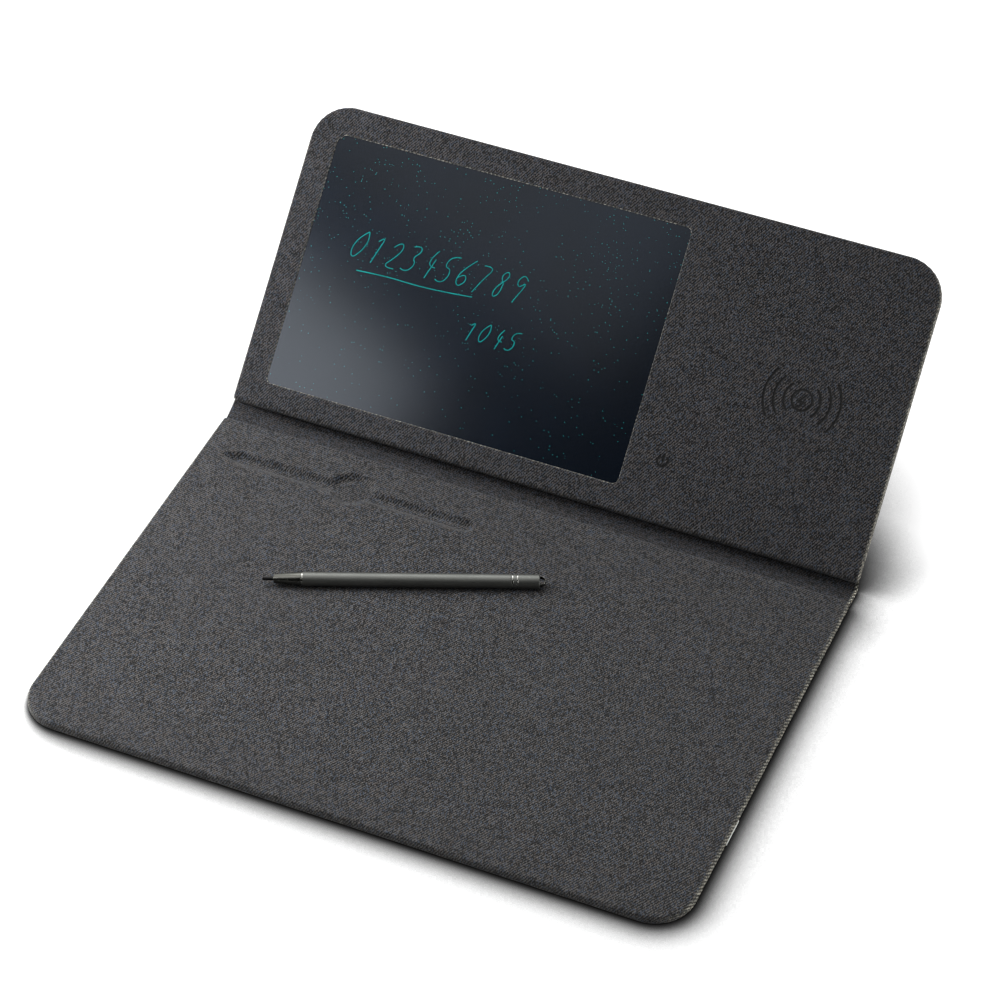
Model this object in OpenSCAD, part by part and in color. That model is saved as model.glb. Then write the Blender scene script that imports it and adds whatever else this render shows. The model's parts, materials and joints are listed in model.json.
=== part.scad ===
// Folding desk mat with a wireless charging zone, a writing tablet and a pen.
// Millimetres. X runs along the fold, Y points away from the user, Z is up.
// The origin is the centre of the lower panel's underside, on the desk.

/* [Panels] */
// Width of both panels
mat_w = 320; // [310:1:360]
// Depth of the lower panel, from its front edge to the spine
mat_d = 213.5; // [205:0.5:260]
// Depth of the raised panel, from the spine to its top edge
panel_d = 150.3; // [146:0.1:180]
// Corner radius of both panels in plan
corner_r = 19; // [8:1:30]
// Angle at which the raised panel leans back from the desk
tilt = 44; // [38:1:52]

/* [Layers] */
// Thickness of the woven cover
fabric_t = 0.5; // [0.4:0.1:0.7]
// Thickness of the non-slip base sheet
base_t = 0.6; // [0.4:0.1:1.2]
// Thickness of the stiffening board in the lower panel
mat_board_t = 0.5; // [0.4:0.1:1.5]
// Thickness of the foam layer, which is also the depth of the pen channel
foam_t = 2.6; // [2.2:0.1:3.6]
// Thickness of the raised panel's back lining
lining_t = 0.5; // [0.4:0.1:0.8]
// Thickness of the raised panel's core, which holds the electronics
core_t = 3.2; // [3.2:0.1:4.4]
// Thickness of the raised panel's face board, level with the screen
face_board_t = 0.8; // [0.6:0.1:1.2]

/* [Spine] */
// Width of the spine cloth that lies flat behind the lower panel
spine_flat = 12.2; // [11.4:0.1:13]
// Distance from the lower panel's rear edge back to the fold axis
fold_back = 4.7; // [4.4:0.1:5.4]
// Distance from the fold axis to the raised panel's near edge
panel_gap = 5.1; // [4.6:0.1:6]

/* [Screen] */
// Width of the window in the cover
window_w = 183; // [170:1:190]
// Height of the window in the cover
window_h = 125.3; // [110:0.1:128]
// Corner radius of the window
window_r = 3; // [1:0.5:6]
// Distance from the panel's left edge to the window
window_left = 13.9; // [10:0.1:20]
// Distance from the panel's near edge to the window
window_low = 11.2; // [8:0.1:16]
// How far the screen runs under the cover on each side
screen_lap = 1; // [0.6:0.1:2]
// Thickness of the writing screen
screen_t = 0.8; // [0.6:0.1:0.9]
// Thickness of the plate behind the screen
backing_t = 0.6; // [0.4:0.1:0.7]

/* [Erase key] */
// Distance from the window to the key's centre
key_off = 18.2; // [16:0.1:24]
// Distance from the panel's near edge to the key's centre
key_low = 27.8; // [24:0.1:36]
// Diameter of the key cap
key_d = 9; // [7:0.5:11]
// Travel of the key
key_travel = 0.25; // [0.15:0.05:0.3]

/* [Charging zone] */
// Distance from the panel's right edge to the coil's centre
charge_right = 49.2; // [44:0.1:52]
// Distance from the panel's near edge to the coil's centre
charge_low = 72.8; // [72:0.1:80]
// Outer diameter of the coil
coil_d = 50; // [42:1:52]
// Inner diameter of the coil
coil_bore = 20; // [12:1:26]
// Thickness of the coil
coil_t = 1.2; // [0.8:0.1:1.4]
// Thickness of the ferrite shield
ferrite_t = 0.8; // [0.5:0.1:1]
// Radius of the smallest arc of the charging mark
mark_r = 8.8; // [8:0.1:10]
// Step from one arc of the charging mark to the next
mark_step = 4.9; // [4:0.1:5.5]
// Width of the pressed lines of the marks
mark_line = 0.7; // [0.5:0.1:1]
// Depth of the pressed lines of the marks
mark_depth = 0.2; // [0.1:0.05:0.3]

/* [Socket] */
// Width of the USB-C shell
usb_w = 8.94; // [8.94:0.01:9.1]
// Height of the USB-C shell
usb_h = 3.1; // [2.9:0.05:3.1]
// Depth of the USB-C shell
usb_depth = 7.35; // [6.5:0.05:8]

/* [Boards] */
// Thickness of the circuit boards
pcb_t = 0.8; // [0.6:0.1:1]
// Width of the charging board
charger_w = 42; // [34:1:46]
// Depth of the charging board
charger_d = 17; // [14:1:20]
// Width of the screen's driver board
driver_w = 20; // [18:1:24]
// Depth of the screen's driver board
driver_d = 24; // [20:1:28]

/* [Battery] */
// Diameter of the coin cell
cell_d = 20; // [16:1:20]
// Thickness of the coin cell
cell_t = 1.6; // [1.2:0.1:1.7]
// Thickness of the battery door
door_t = 0.7; // [0.5:0.1:0.8]
// Diameter of the door's screw
screw_d = 2; // [1.6:0.1:2.5]

/* [Stand] */
// Width of the fold-out stand
stand_w = 88; // [60:1:90]
// Distance from the panel's near edge to the stand's crease
stand_low = 92; // [84:1:100]
// Angle between the open stand and the panel's back
stand_angle = 73; // [68:1:80]
// Thickness of the stand
stand_t = 1.8; // [1.4:0.1:1.8]
// Thickness of the stand's cloth cover
stand_cloth_t = 0.3; // [0.2:0.1:0.4]
// Thickness of each leaf of the stand's crease tape
leaf_t = 0.15; // [0.1:0.05:0.2]

/* [Pen] */
// Diameter of the pen
pen_d = 6.7; // [6:0.1:7.2]
// Length of the pen's tapered nose
nose_len = 12.8; // [10:0.1:16]
// Diameter of the nose at its small end
nose_d = 4.4; // [3.6:0.1:5]
// Length of the nib that stands out of the nose
nib_len = 4.6; // [3:0.1:6]
// Diameter of the nib
nib_d = 1.9; // [1.4:0.1:2.4]
// Length of the barrel
barrel_len = 96.8; // [88:0.1:98]
// Bore of the barrel
pen_bore = 4.8; // [4:0.1:5.2]
// Length of the end cap
cap_len = 12.4; // [10:0.1:16]
// Radius of the loop on the end cap
loop_r = 3; // [2.4:0.1:3]
// Width of the pen's bright rings
ring_w = 0.8; // [0.6:0.1:1.2]
// Place of the pen's tip across the mat
pen_x = -92.1; // [-110:0.1:-80]
// Place of the pen's tip along the mat
pen_y = 10.4; // [0:0.1:14]
// Angle of the pen on the mat
pen_turn = 22.4; // [10:0.1:24]

/* [Pen channel] */
// Distance from the mat's left edge to the channel's pointed end
channel_left = 10.3; // [8:0.1:16]
// Distance from the mat's rear edge to the channel's centre line
channel_back = 24.2; // [22:0.1:30]
// Room round the pen's thickness in the channel, on each side
channel_side = 1.35; // [1:0.05:2]
// Length of the channel's pointed end
channel_point = 9; // [6:0.5:12]
// Diameter of the finger notch
notch_d = 22.5; // [18:0.5:26]
// Distance from the pointed end to the finger notch
notch_from = 67.7; // [50:0.1:80]

/* [Hidden] */
$fn = 64;

// Small clearances between pieces that lie side by side
fit = 0.1;
running = 0.05;
over = 1;

// Layers of the lower panel, counted up from the desk
board_z = base_t;
foam_z = board_z + mat_board_t;
mat_t = foam_z + foam_t + fabric_t;

// Layers of the raised panel, counted up from its back
core_z = lining_t;
face_z = core_z + core_t;
board_top = face_z + face_board_t;
panel_t = board_top + fabric_t;

// Fold: with the panel laid on the mat, the pen fits in its channel between them
pen_room = 0.3;
closed_gap = pen_d - foam_t + pen_room;
fold_y = mat_d / 2 + fold_back;
fold_z = (mat_t + panel_t + closed_gap) / 2;

// Screen
screen_w = window_w + 2 * screen_lap;
screen_h = window_h + 2 * screen_lap;
screen_r = window_r + screen_lap;
window_x = -mat_w / 2 + window_left + window_w / 2;
window_y = window_low + window_h / 2;
screen_z = board_top - screen_t;
backing_z = screen_z - backing_t;
screen_right = window_x + screen_w / 2;

// Boards stand on pocket floors, with their parts above them
pocket_z = core_z + 0.8;
pcb_top = pocket_z + pcb_t;

// Erase key and driver board
key_x = window_x + window_w / 2 + key_off;
key_lip = 1;
key_lip_t = 0.45;
key_z = face_z - running - key_lip_t;
driver_x = key_x - key_d / 2 - key_lip - 2.5;
driver_y = key_low - driver_d / 2;
flex_w = 12;
flex_t = 0.15;
flex_end = driver_x + 1.5;
switch_w = 5;
plunger_d = 3;
plunger_h = 0.1;
plunger_top = key_z - key_travel - running;

// Battery tray, to the right of the driver board
tray_wall = 1.2;
tray_h = face_z - fit;
tray_x = driver_x + driver_w + 2.5;
tray_w = cell_d + 9.5;
tray_d = cell_d + 4;
tray_y = key_low + 2 - tray_d / 2;
cell_x = tray_x + tray_wall + cell_d / 2 + 0.4;
cell_y = tray_y + tray_d / 2;
cell_z = door_t + fit;
boss_x = tray_x + tray_w - tray_wall - 2.4;
head_d = screw_d + 1.8;
door_inset = 0.8;
contact_t = 0.15;
contact_z = cell_z + cell_t + contact_t;

// Marks pressed into the cover: the charging mark's ring and the spans of its arcs, and the key's mark
mark_ring_r = 4.9;
mark_spans = [46, 40, 37];
key_mark_r = 2.6;
key_mark_gap = 45;
key_mark_bar = 3.6;

// Charging coil and its board
charge_x = mat_w / 2 - charge_right;
ferrite_d = coil_d + 2;
ferrite_z = face_z - 0.2 - coil_t - ferrite_t;
coil_z = ferrite_z + ferrite_t;
usb_y = panel_d - usb_depth;
usb_z = core_z + core_t / 2;
usb_wall = 0.3;
charger_y = panel_d - fabric_t - fit - charger_d;
lead_d = 0.8;
lead_gap = 6;

// Stand: folded, it lies just inside a recess in the panel's back, with its crease at the floor
flap_low = 0.16;
flap_top = flap_low + stand_t;
leaf_gap = 0.04;
crease_z = flap_top + leaf_t + leaf_gap / 2;
recess_z = crease_z + leaf_gap / 2 + leaf_t;
foot_r = stand_t / 2;
stand_corner = 5;
leaf_len = 7;
recess_side = 0.5;
bevel = stand_t + leaf_t + leaf_gap;
pull_r = 9;
open_lean = tilt + stand_angle;
foot_drop = crease_z - flap_low - foot_r;
crease_up = panel_point(stand_low, crease_z)[1];
stand_len = (crease_up - foot_r - foot_drop * cos(open_lean)) / sin(open_lean);
recess_end = stand_low - stand_len - foot_r - recess_side;

// Pen, along its own axis from the tip
nose_end = nib_len + nose_len;
barrel_at = nose_end + ring_w;
cap_at = barrel_at + barrel_len;
body_end = cap_at + cap_len;
pen_len = body_end + loop_r;
plug_d = pen_bore - 2 * running;
plug_len = 6;
groove = 0.4;
groove_step = 2.6;
loop_w = 2;
loop_band = 0.8;

// Pen channel
channel_w = pen_d + 2 * channel_side;
channel_len = pen_len + 1.6;
channel_x = -mat_w / 2 + channel_left;
channel_y = mat_d / 2 - channel_back;
notch_shift = 1.7;

// Edge tag on the right side of the lower panel
tag_w = 13;
tag_t = 0.4;
tag_y = -46.3;
base_inset = 0.3;

// A point of the raised panel, given in the panel's own flat frame, as [y, z] at rest
function panel_point(y, z) = [
    fold_y + (y + panel_gap) * cos(tilt) - (z - fold_z) * sin(tilt),
    fold_z + (y + panel_gap) * sin(tilt) + (z - fold_z) * cos(tilt)];

// ---- Shared shapes ----

// Rectangle from y = 0 to y = d, centred in x, with its two near corners rounded
module near_rounded(w, d, r) {
    translate([-w / 2, r]) square([w, d - r]);
    translate([-w / 2 + r, 0]) square([w - 2 * r, 2 * r]);
    for (s = [-1, 1]) translate([s * (w / 2 - r), r]) circle(r);
}

// Rectangle centred on the origin, with four rounded corners
module rounded_plate(w, d, r) {
    square([w - 2 * r, d], center = true);
    square([w, d - 2 * r], center = true);
    for (sx = [-1, 1], sy = [-1, 1]) translate([sx * (w / 2 - r), sy * (d / 2 - r)]) circle(r);
}

// Slot with round ends, centred on the origin
module slot(w, h) {
    square([w - h, h], center = true);
    for (s = [-1, 1]) translate([s * (w - h) / 2, 0]) circle(h / 2);
}

// Outline of the lower panel, drawn in by inset
module mat_outline(inset) {
    translate([0, -mat_d / 2 + inset])
        near_rounded(mat_w - 2 * inset, mat_d - 2 * inset, corner_r - inset);
}

// Outline of the raised panel in its own flat frame, drawn in by inset
module panel_outline(inset) {
    translate([0, panel_d - inset]) mirror([0, 1])
        near_rounded(mat_w - 2 * inset, panel_d - 2 * inset, corner_r - inset);
}

// Flat layer from z = low to z = high
module layer(low, high) {
    translate([0, 0, low]) linear_extrude(high - low) children();
}

// Places the raised panel's flat frame at its rest angle
module in_panel() {
    translate([0, fold_y, fold_z]) rotate([tilt, 0, 0])
        translate([0, panel_gap, -fold_z]) children();
}

// Places the stand, drawn folded in the panel's flat frame, at its open angle
module in_stand() {
    in_panel() translate([0, stand_low, crease_z]) rotate([stand_angle, 0, 0])
        translate([0, -stand_low, -crease_z]) children();
}

// Places the pen, drawn along x from its tip, on the mat
module in_pen() {
    translate([pen_x, pen_y, mat_t + fit + pen_d / 2]) rotate([0, 0, pen_turn]) children();
}

// Round bar along x
module bar(from, len, d, d2 = 0) {
    translate([from, 0, 0]) rotate([0, 90, 0])
        cylinder(h = len, d1 = d, d2 = d2 == 0 ? d : d2);
}

// ---- Lower panel ----

// Outline of the pen channel, grown outwards by grow
module channel_outline(grow) {
    half = channel_w / 2 + grow;
    end_x = channel_x + channel_len - channel_w / 2;
    translate([0, channel_y]) {
        polygon([[channel_x - 2 * grow, 0], [channel_x + channel_point, -half],
            [channel_x + channel_point, half]]);
        translate([channel_x + channel_point - 0.01, -half])
            square([end_x - channel_x - channel_point + 0.01, 2 * half]);
        translate([end_x, 0]) circle(half);
        translate([channel_x + notch_from, notch_shift]) circle(notch_d / 2 + grow);
    }
}

module mat_fabric() {
    color("#3d3e41") difference() {
        layer(base_t, mat_t) mat_outline(0);
        difference() {
            layer(base_t - over, foam_z + foam_t) mat_outline(fabric_t);
            layer(foam_z, mat_t) channel_outline(fabric_t);
        }
        layer(foam_z + fabric_t, mat_t + over) channel_outline(0);
    }
}

module mat_foam() {
    color("#26272a") difference() {
        layer(foam_z, foam_z + foam_t) mat_outline(fabric_t);
        layer(foam_z - over, mat_t) channel_outline(fabric_t);
    }
}

module mat_board() {
    color("#8b7f6c") layer(board_z, foam_z) mat_outline(fabric_t);
}

module mat_base() {
    color("#5c574e") layer(0, base_t) difference() {
        mat_outline(base_inset);
        translate([mat_w / 2 - base_inset - 1, tag_y]) square([2, tag_w + 2 * fit], center = true);
    }
}

module edge_tag() {
    color("#c9cec8") translate([mat_w / 2 - base_inset - 1 + running, tag_y - tag_w / 2, running])
        cube([1.4, tag_w, tag_t]);
}

// ---- Spine ----

// One layer of the spine cloth, between low and high counted from its outer face
module spine_layer(low, high) {
    start = mat_d / 2 + fit;
    bend = mat_d / 2 + spine_flat;
    foot = panel_point(-fit, 0);
    rise = atan2(foot[1], foot[0] - bend);
    mitre = tan(rise / 2);
    rotate([90, 0, 90]) linear_extrude(mat_w - 2 * fabric_t, center = true)
        polygon([[start, low], [bend - low * mitre, low], panel_point(-fit, low),
            panel_point(-fit, high), [bend - high * mitre, high], [start, high]]);
}

module spine_fabric() {
    color("#37383b") spine_layer(lining_t, lining_t + fabric_t);
}

module spine_lining() {
    color("#2b2b2d") spine_layer(0, lining_t);
}

// ---- Raised panel ----

// Line of a pressed mark, bent to radius r
module mark_circle(r) {
    difference() {
        circle(r + mark_line / 2);
        circle(r - mark_line / 2);
    }
}

// Triangle that spans half_angle to each side of the x axis, out past radius r
module mark_sector(r, half_angle) {
    reach = (r + mark_line) / cos(half_angle);
    polygon([[0, 0], [reach, -reach * tan(half_angle)], [reach, reach * tan(half_angle)]]);
}

// The charging mark: a ring with three arcs on each side
module charging_mark() {
    mark_circle(mark_ring_r);
    for (side = [0, 1], k = [0:2]) mirror([side, 0]) intersection() {
        mark_circle(mark_r + k * mark_step);
        mark_sector(mark_r + k * mark_step, mark_spans[k]);
    }
}

// The key's mark: an open ring with a bar standing in its gap
module key_mark() {
    difference() {
        mark_circle(key_mark_r);
        rotate([0, 0, 90]) mark_sector(key_mark_r, key_mark_gap);
    }
    translate([-mark_line / 2, key_mark_r + mark_line - key_mark_bar]) square([mark_line, key_mark_bar]);
}

module window_cut(grow) {
    translate([window_x, window_y])
        rounded_plate(window_w + 2 * grow, window_h + 2 * grow, window_r + grow);
}

module usb_cut(grow) {
    translate([charge_x, panel_d - usb_depth - over, usb_z]) rotate([-90, 0, 0])
        linear_extrude(usb_depth + 2 * over) slot(usb_w + 2 * grow, usb_h + 2 * grow);
}

// Recess in the panel's back that takes the folded stand, with a finger pull
module stand_recess(top) {
    layer(-over, top) {
        translate([-stand_w / 2 - recess_side, recess_end])
            square([stand_w + 2 * recess_side, stand_low + fit - recess_end]);
        translate([0, recess_end + 1]) circle(pull_r);
    }
}

module tray_cut(grow) {
    translate([tray_x - grow, tray_y - grow]) square([tray_w + 2 * grow, tray_d + 2 * grow]);
}

module panel_fabric() {
    color("#343538") in_panel() difference() {
        layer(core_z, panel_t) panel_outline(0);
        layer(core_z - over, board_top) panel_outline(fabric_t);
        layer(core_z - over, panel_t + over) window_cut(0);
        layer(panel_t - mark_depth, panel_t + over) {
            translate([charge_x, charge_low]) charging_mark();
            translate([key_x, key_low]) key_mark();
        }
        usb_cut(0.15);
    }
}

module panel_face_board() {
    color("#2a2a2c") in_panel() layer(face_z, board_top) difference() {
        panel_outline(fabric_t);
        window_cut(screen_lap + fit);
        translate([key_x, key_low]) circle(key_d / 2 + fit);
    }
}

module panel_core() {
    color("#1f2022") in_panel() difference() {
        layer(core_z, face_z) panel_outline(fabric_t);
        stand_recess(recess_z);
        layer(backing_z, face_z + over) window_cut(screen_lap + fit);
        layer(pocket_z, face_z + over) {
            translate([driver_x - fit, driver_y - fit]) square([driver_w + 2 * fit, driver_d + 2 * fit]);
            translate([charge_x - charger_w / 2 - fit, charger_y - fit])
                square([charger_w + 2 * fit, charger_d + fit]);
        }
        layer(ferrite_z, face_z + over) translate([charge_x, charge_low]) circle(ferrite_d / 2 + fit);
        layer(core_z - over, face_z + over) tray_cut(fit);
        // channels for the screen's flex, the cell's contacts and the coil's leads
        layer(backing_z - 0.2, face_z + over) translate([screen_right - over, key_low - flex_w / 2 - 0.5])
            square([driver_x - screen_right + 2, flex_w + 1]);
        layer(pcb_top, face_z + over) {
            translate([driver_x + driver_w - over, cell_y - 6]) square([4.5, 12]);
            translate([charge_x - lead_gap, charge_low + coil_d / 2 - 2])
                square([2 * lead_gap, charger_y - charge_low - coil_d / 2 + 4]);
        }
        usb_cut(0.02);
    }
}

module panel_lining() {
    color("#2b2b2d") in_panel() difference() {
        layer(0, core_z) panel_outline(base_inset);
        stand_recess(core_z + over);
        layer(-over, core_z + over) tray_cut(fit);
    }
}

// ---- Writing screen ----

module writing_screen() {
    color("#141a24") in_panel() layer(screen_z, board_top) window_cut(screen_lap);
}

module screen_backing() {
    color("#3a3a3a") in_panel() layer(backing_z, screen_z) window_cut(screen_lap);
}

module screen_flex() {
    color("#b4752a") in_panel() {
        translate([screen_right + running, key_low - flex_w / 2, backing_z])
            cube([flex_end - screen_right - running, flex_w, flex_t]);
        translate([flex_end - flex_t, key_low - flex_w / 2, pcb_top])
            cube([flex_t, flex_w, backing_z - pcb_top + flex_t]);
    }
}

module driver_board() {
    color("#1d5b3a") in_panel() translate([driver_x, driver_y, pocket_z])
        cube([driver_w, driver_d, pcb_t]);
}

module driver_chips() {
    chip = [[10.5, 2, 5, 4], [10.5, 18.2, 4, 3], [4, 18.2, 4, 4]];
    color("#151515") in_panel() for (c = chip)
        translate([driver_x + c[0], driver_y + c[1], pcb_top]) cube([c[2], c[3], 0.7]);
}

module erase_switch() {
    color("#b9bcc0") in_panel() {
        translate([key_x - switch_w / 2, key_low - switch_w / 2, pcb_top])
            cube([switch_w, switch_w, plunger_top - plunger_h - pcb_top]);
        translate([key_x, key_low, plunger_top - plunger_h]) cylinder(h = plunger_h, d = plunger_d);
    }
}

module erase_key() {
    color("#202124") in_panel() translate([key_x, key_low, key_z]) {
        cylinder(h = key_lip_t, d = key_d + 2 * key_lip);
        cylinder(h = board_top - key_z, d = key_d);
    }
}

// ---- Battery ----

module battery_tray() {
    color("#18191b") in_panel() difference() {
        translate([tray_x, tray_y, 0]) cube([tray_w, tray_d, tray_h]);
        // rebate for the door, pocket for the cell and room for the contacts
        translate([tray_x + door_inset, tray_y + door_inset, -over])
            cube([tray_w - 2 * door_inset, tray_d - 2 * door_inset, door_t + over]);
        translate([cell_x, cell_y, 0]) cylinder(h = contact_z + contact_t, d = cell_d + 0.8);
        translate([tray_x - over, cell_y - 5, contact_z - 0.1])
            cube([cell_d / 2, 10, contact_t + 0.2]);
        translate([boss_x, cell_y, 0]) cylinder(h = tray_h - 0.6, d = screw_d - 0.3);
    }
}

module coin_cell() {
    color("#c4c6c9") in_panel() translate([cell_x, cell_y, cell_z]) cylinder(h = cell_t, d = cell_d);
}

module cell_contacts() {
    reach = [cell_d / 2 + 6, 6.5];
    color("#c9a24b") in_panel() for (k = [0, 1])
        translate([driver_x + driver_w - 2, cell_y - 4.2 + k * 5.2, 0]) {
            translate([0, 0, contact_z]) cube([reach[k], 3.2, contact_t]);
            translate([0, 0, pcb_top]) cube([contact_t, 3.2, contact_z - pcb_top + contact_t]);
        }
}

module battery_door() {
    slack = 0.15;
    color("#1b1c1e") in_panel() difference() {
        translate([tray_x + door_inset + slack, tray_y + door_inset + slack, 0])
            cube([tray_w - 2 * door_inset - 2 * slack, tray_d - 2 * door_inset - 2 * slack, door_t]);
        translate([boss_x, cell_y, -over]) cylinder(h = door_t + 2 * over, d = head_d + 0.2);
    }
}

module door_screw() {
    color("#9a9da1") in_panel() translate([boss_x, cell_y, 0]) difference() {
        union() {
            cylinder(h = door_t, d = head_d);
            cylinder(h = tray_h - 1, d = screw_d - 0.3 - 2 * running);
        }
        for (turn = [0, 90]) rotate([0, 0, turn])
            translate([0, 0, 0.1]) cube([head_d * 0.6, 0.4, 0.8], center = true);
    }
}

// ---- Wireless charger ----

module charging_coil() {
    color("#b06a35") in_panel() translate([charge_x, charge_low, coil_z]) difference() {
        cylinder(h = coil_t, d = coil_d);
        translate([0, 0, -over]) cylinder(h = coil_t + 2 * over, d = coil_bore);
    }
}

module ferrite_shield() {
    color("#2d2e30") in_panel() translate([charge_x, charge_low, ferrite_z])
        cylinder(h = ferrite_t, d = ferrite_d);
}

module coil_leads() {
    reach = sqrt(pow(coil_d / 2, 2) - pow(lead_gap / 2 + lead_d / 2, 2));
    start = charge_low + reach + 0.3;
    color("#c8823f") in_panel() for (s = [-1, 1])
        translate([charge_x + s * lead_gap / 2 - (s < 0 ? lead_d : 0), start, max(coil_z, pcb_top)])
            cube([lead_d, charger_y + 2.5 - start, lead_d]);
}

module charger_board() {
    color("#1d5b3a") in_panel() difference() {
        translate([charge_x - charger_w / 2, charger_y, pocket_z]) cube([charger_w, charger_d, pcb_t]);
        translate([charge_x - usb_w / 2 - 0.2, usb_y - 0.2, pocket_z - over])
            cube([usb_w + 0.4, usb_depth, pcb_t + 2 * over]);
    }
}

module charger_chips() {
    chip = [[4, 4, 6, 6], [13, 2.5, 4, 4], [30, 4, 7, 7], [24.5, 2.5, 3.5, 3.5]];
    color("#151515") in_panel() for (c = chip)
        translate([charge_x - charger_w / 2 + c[0], charger_y + c[1], pcb_top])
            cube([c[2], c[3], 1]);
}

module usb_c_shell() {
    color("#b9bcc0") in_panel() translate([charge_x, usb_y, usb_z]) rotate([-90, 0, 0]) difference() {
        linear_extrude(usb_depth) slot(usb_w, usb_h);
        translate([0, 0, 0.6]) linear_extrude(usb_depth) slot(usb_w - 2 * usb_wall, usb_h - 2 * usb_wall);
    }
}

module usb_c_tongue() {
    color("#161718") in_panel() translate([charge_x - 3.35, usb_y + 0.6, usb_z - 0.35])
        cube([6.7, usb_depth - 1.6, 0.7]);
}

// ---- Fold-out stand ----

module stand_panel_leaf() {
    color("#303134") in_panel() translate([-stand_w / 2, stand_low - leaf_len, recess_z - leaf_t])
        cube([stand_w, leaf_len, leaf_t]);
}

module stand_flap_leaf() {
    color("#303134") in_stand() bevelled()
        translate([-stand_w / 2, stand_low - leaf_len, flap_top]) cube([stand_w, leaf_len, leaf_t]);
}

// The folded stand's plan, drawn in by inset at its sides and free end
module stand_outline(inset) {
    translate([0, stand_low - stand_len + inset])
        near_rounded(stand_w - 2 * inset, stand_len + over, stand_corner - inset);
}

// Takes off the bevel that bears on the recess wall when the stand is open
module bevelled() {
    difference() {
        children();
        translate([0, stand_low, crease_z]) rotate([-stand_angle, 0, 0])
            translate([-stand_w, 0, -4 * bevel / cos(stand_angle)])
            cube([2 * stand_w, 8 * bevel, 8 * bevel / cos(stand_angle)]);
    }
}

module stand_board() {
    color("#8b7f6c") in_stand() bevelled()
        layer(flap_low + stand_cloth_t, flap_top - stand_cloth_t) stand_outline(stand_cloth_t);
}

module stand_cloth() {
    color("#303134") in_stand() bevelled() difference() {
        layer(flap_low, flap_top) stand_outline(0);
        layer(flap_low + stand_cloth_t, flap_top - stand_cloth_t) stand_outline(stand_cloth_t);
    }
}

module stand_foot() {
    color("#1a1a1b") in_stand() translate([0, stand_low - stand_len, flap_low + foot_r])
        difference() {
            bar(stand_corner - stand_w / 2, stand_w - 2 * stand_corner, 2 * foot_r);
            translate([-stand_w / 2, 0, -over]) cube([stand_w, 2, 2 * over]);
        }
}

// ---- Pen ----

module stylus_barrel() {
    color("#4a4c50") in_pen() difference() {
        bar(barrel_at, barrel_len, pen_d);
        bar(barrel_at - over, barrel_len + 2 * over, pen_bore);
    }
}

module stylus_nose() {
    hold = 9;
    color("#232427") in_pen() difference() {
        union() {
            bar(nib_len, nose_len, nose_d, pen_d);
            bar(nose_end - over, ring_w + plug_len + over, plug_d);
        }
        bar(nib_len - over, hold + over, nib_d + 2 * running);
    }
}

module stylus_nib() {
    hold = 9;
    color("#111112") in_pen() {
        translate([nib_d / 2, 0, 0]) sphere(d = nib_d);
        bar(nib_d / 2, nib_len + hold - nib_d / 2, nib_d);
    }
}

module stylus_nose_ring() {
    color("#c9cbce") in_pen() difference() {
        bar(nose_end, ring_w, pen_d);
        bar(nose_end - over, ring_w + 2 * over, pen_bore);
    }
}

// The two grooves of the end cap, each ring_w wide
module ring_grooves() {
    for (k = [0, 1]) difference() {
        bar(cap_at + ring_w + k * groove_step, ring_w, pen_d + over);
        bar(cap_at, cap_len, pen_d - 2 * groove);
    }
}

module stylus_twin_rings() {
    color("#c9cbce") in_pen() intersection() {
        ring_grooves();
        bar(cap_at, cap_len, pen_d);
    }
}

module stylus_end_cap() {
    color("#3c3e42") in_pen() {
        difference() {
            union() {
                bar(cap_at, cap_len, pen_d);
                bar(cap_at - plug_len, plug_len + over, plug_d);
            }
            ring_grooves();
        }
        translate([body_end - 0.01, 0, 0]) difference() {
            intersection() {
                cylinder(h = loop_w, r = loop_r, center = true);
                translate([0, -loop_r, -loop_w]) cube([loop_r + over, 2 * loop_r, 2 * loop_w]);
            }
            cylinder(h = loop_w + over, r = loop_r - loop_band, center = true);
        }
    }
}

mat_fabric();
mat_foam();
mat_board();
mat_base();
edge_tag();
spine_fabric();
spine_lining();
panel_fabric();
panel_face_board();
panel_core();
panel_lining();
writing_screen();
screen_backing();
screen_flex();
driver_board();
driver_chips();
erase_switch();
erase_key();
battery_tray();
coin_cell();
cell_contacts();
battery_door();
door_screw();
charging_coil();
ferrite_shield();
coil_leads();
charger_board();
charger_chips();
usb_c_shell();
usb_c_tongue();
stand_panel_leaf();
stand_flap_leaf();
stand_board();
stand_cloth();
stand_foot();
stylus_barrel();
stylus_nose();
stylus_nib();
stylus_nose_ring();
stylus_twin_rings();
stylus_end_cap();
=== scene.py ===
# %% [markdown]
# # A folding desk mat with a charging panel
# The object is a cloth-covered desk mat. Its rear panel folds up on a cloth spine and
# leans on a fold-out stand. The panel carries a writing screen and hides a charging coil,
# and a metal pen lies on the mat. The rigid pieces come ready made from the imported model,
# so this script gives them their finishes and makes the soft and turned pieces anew.

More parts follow.
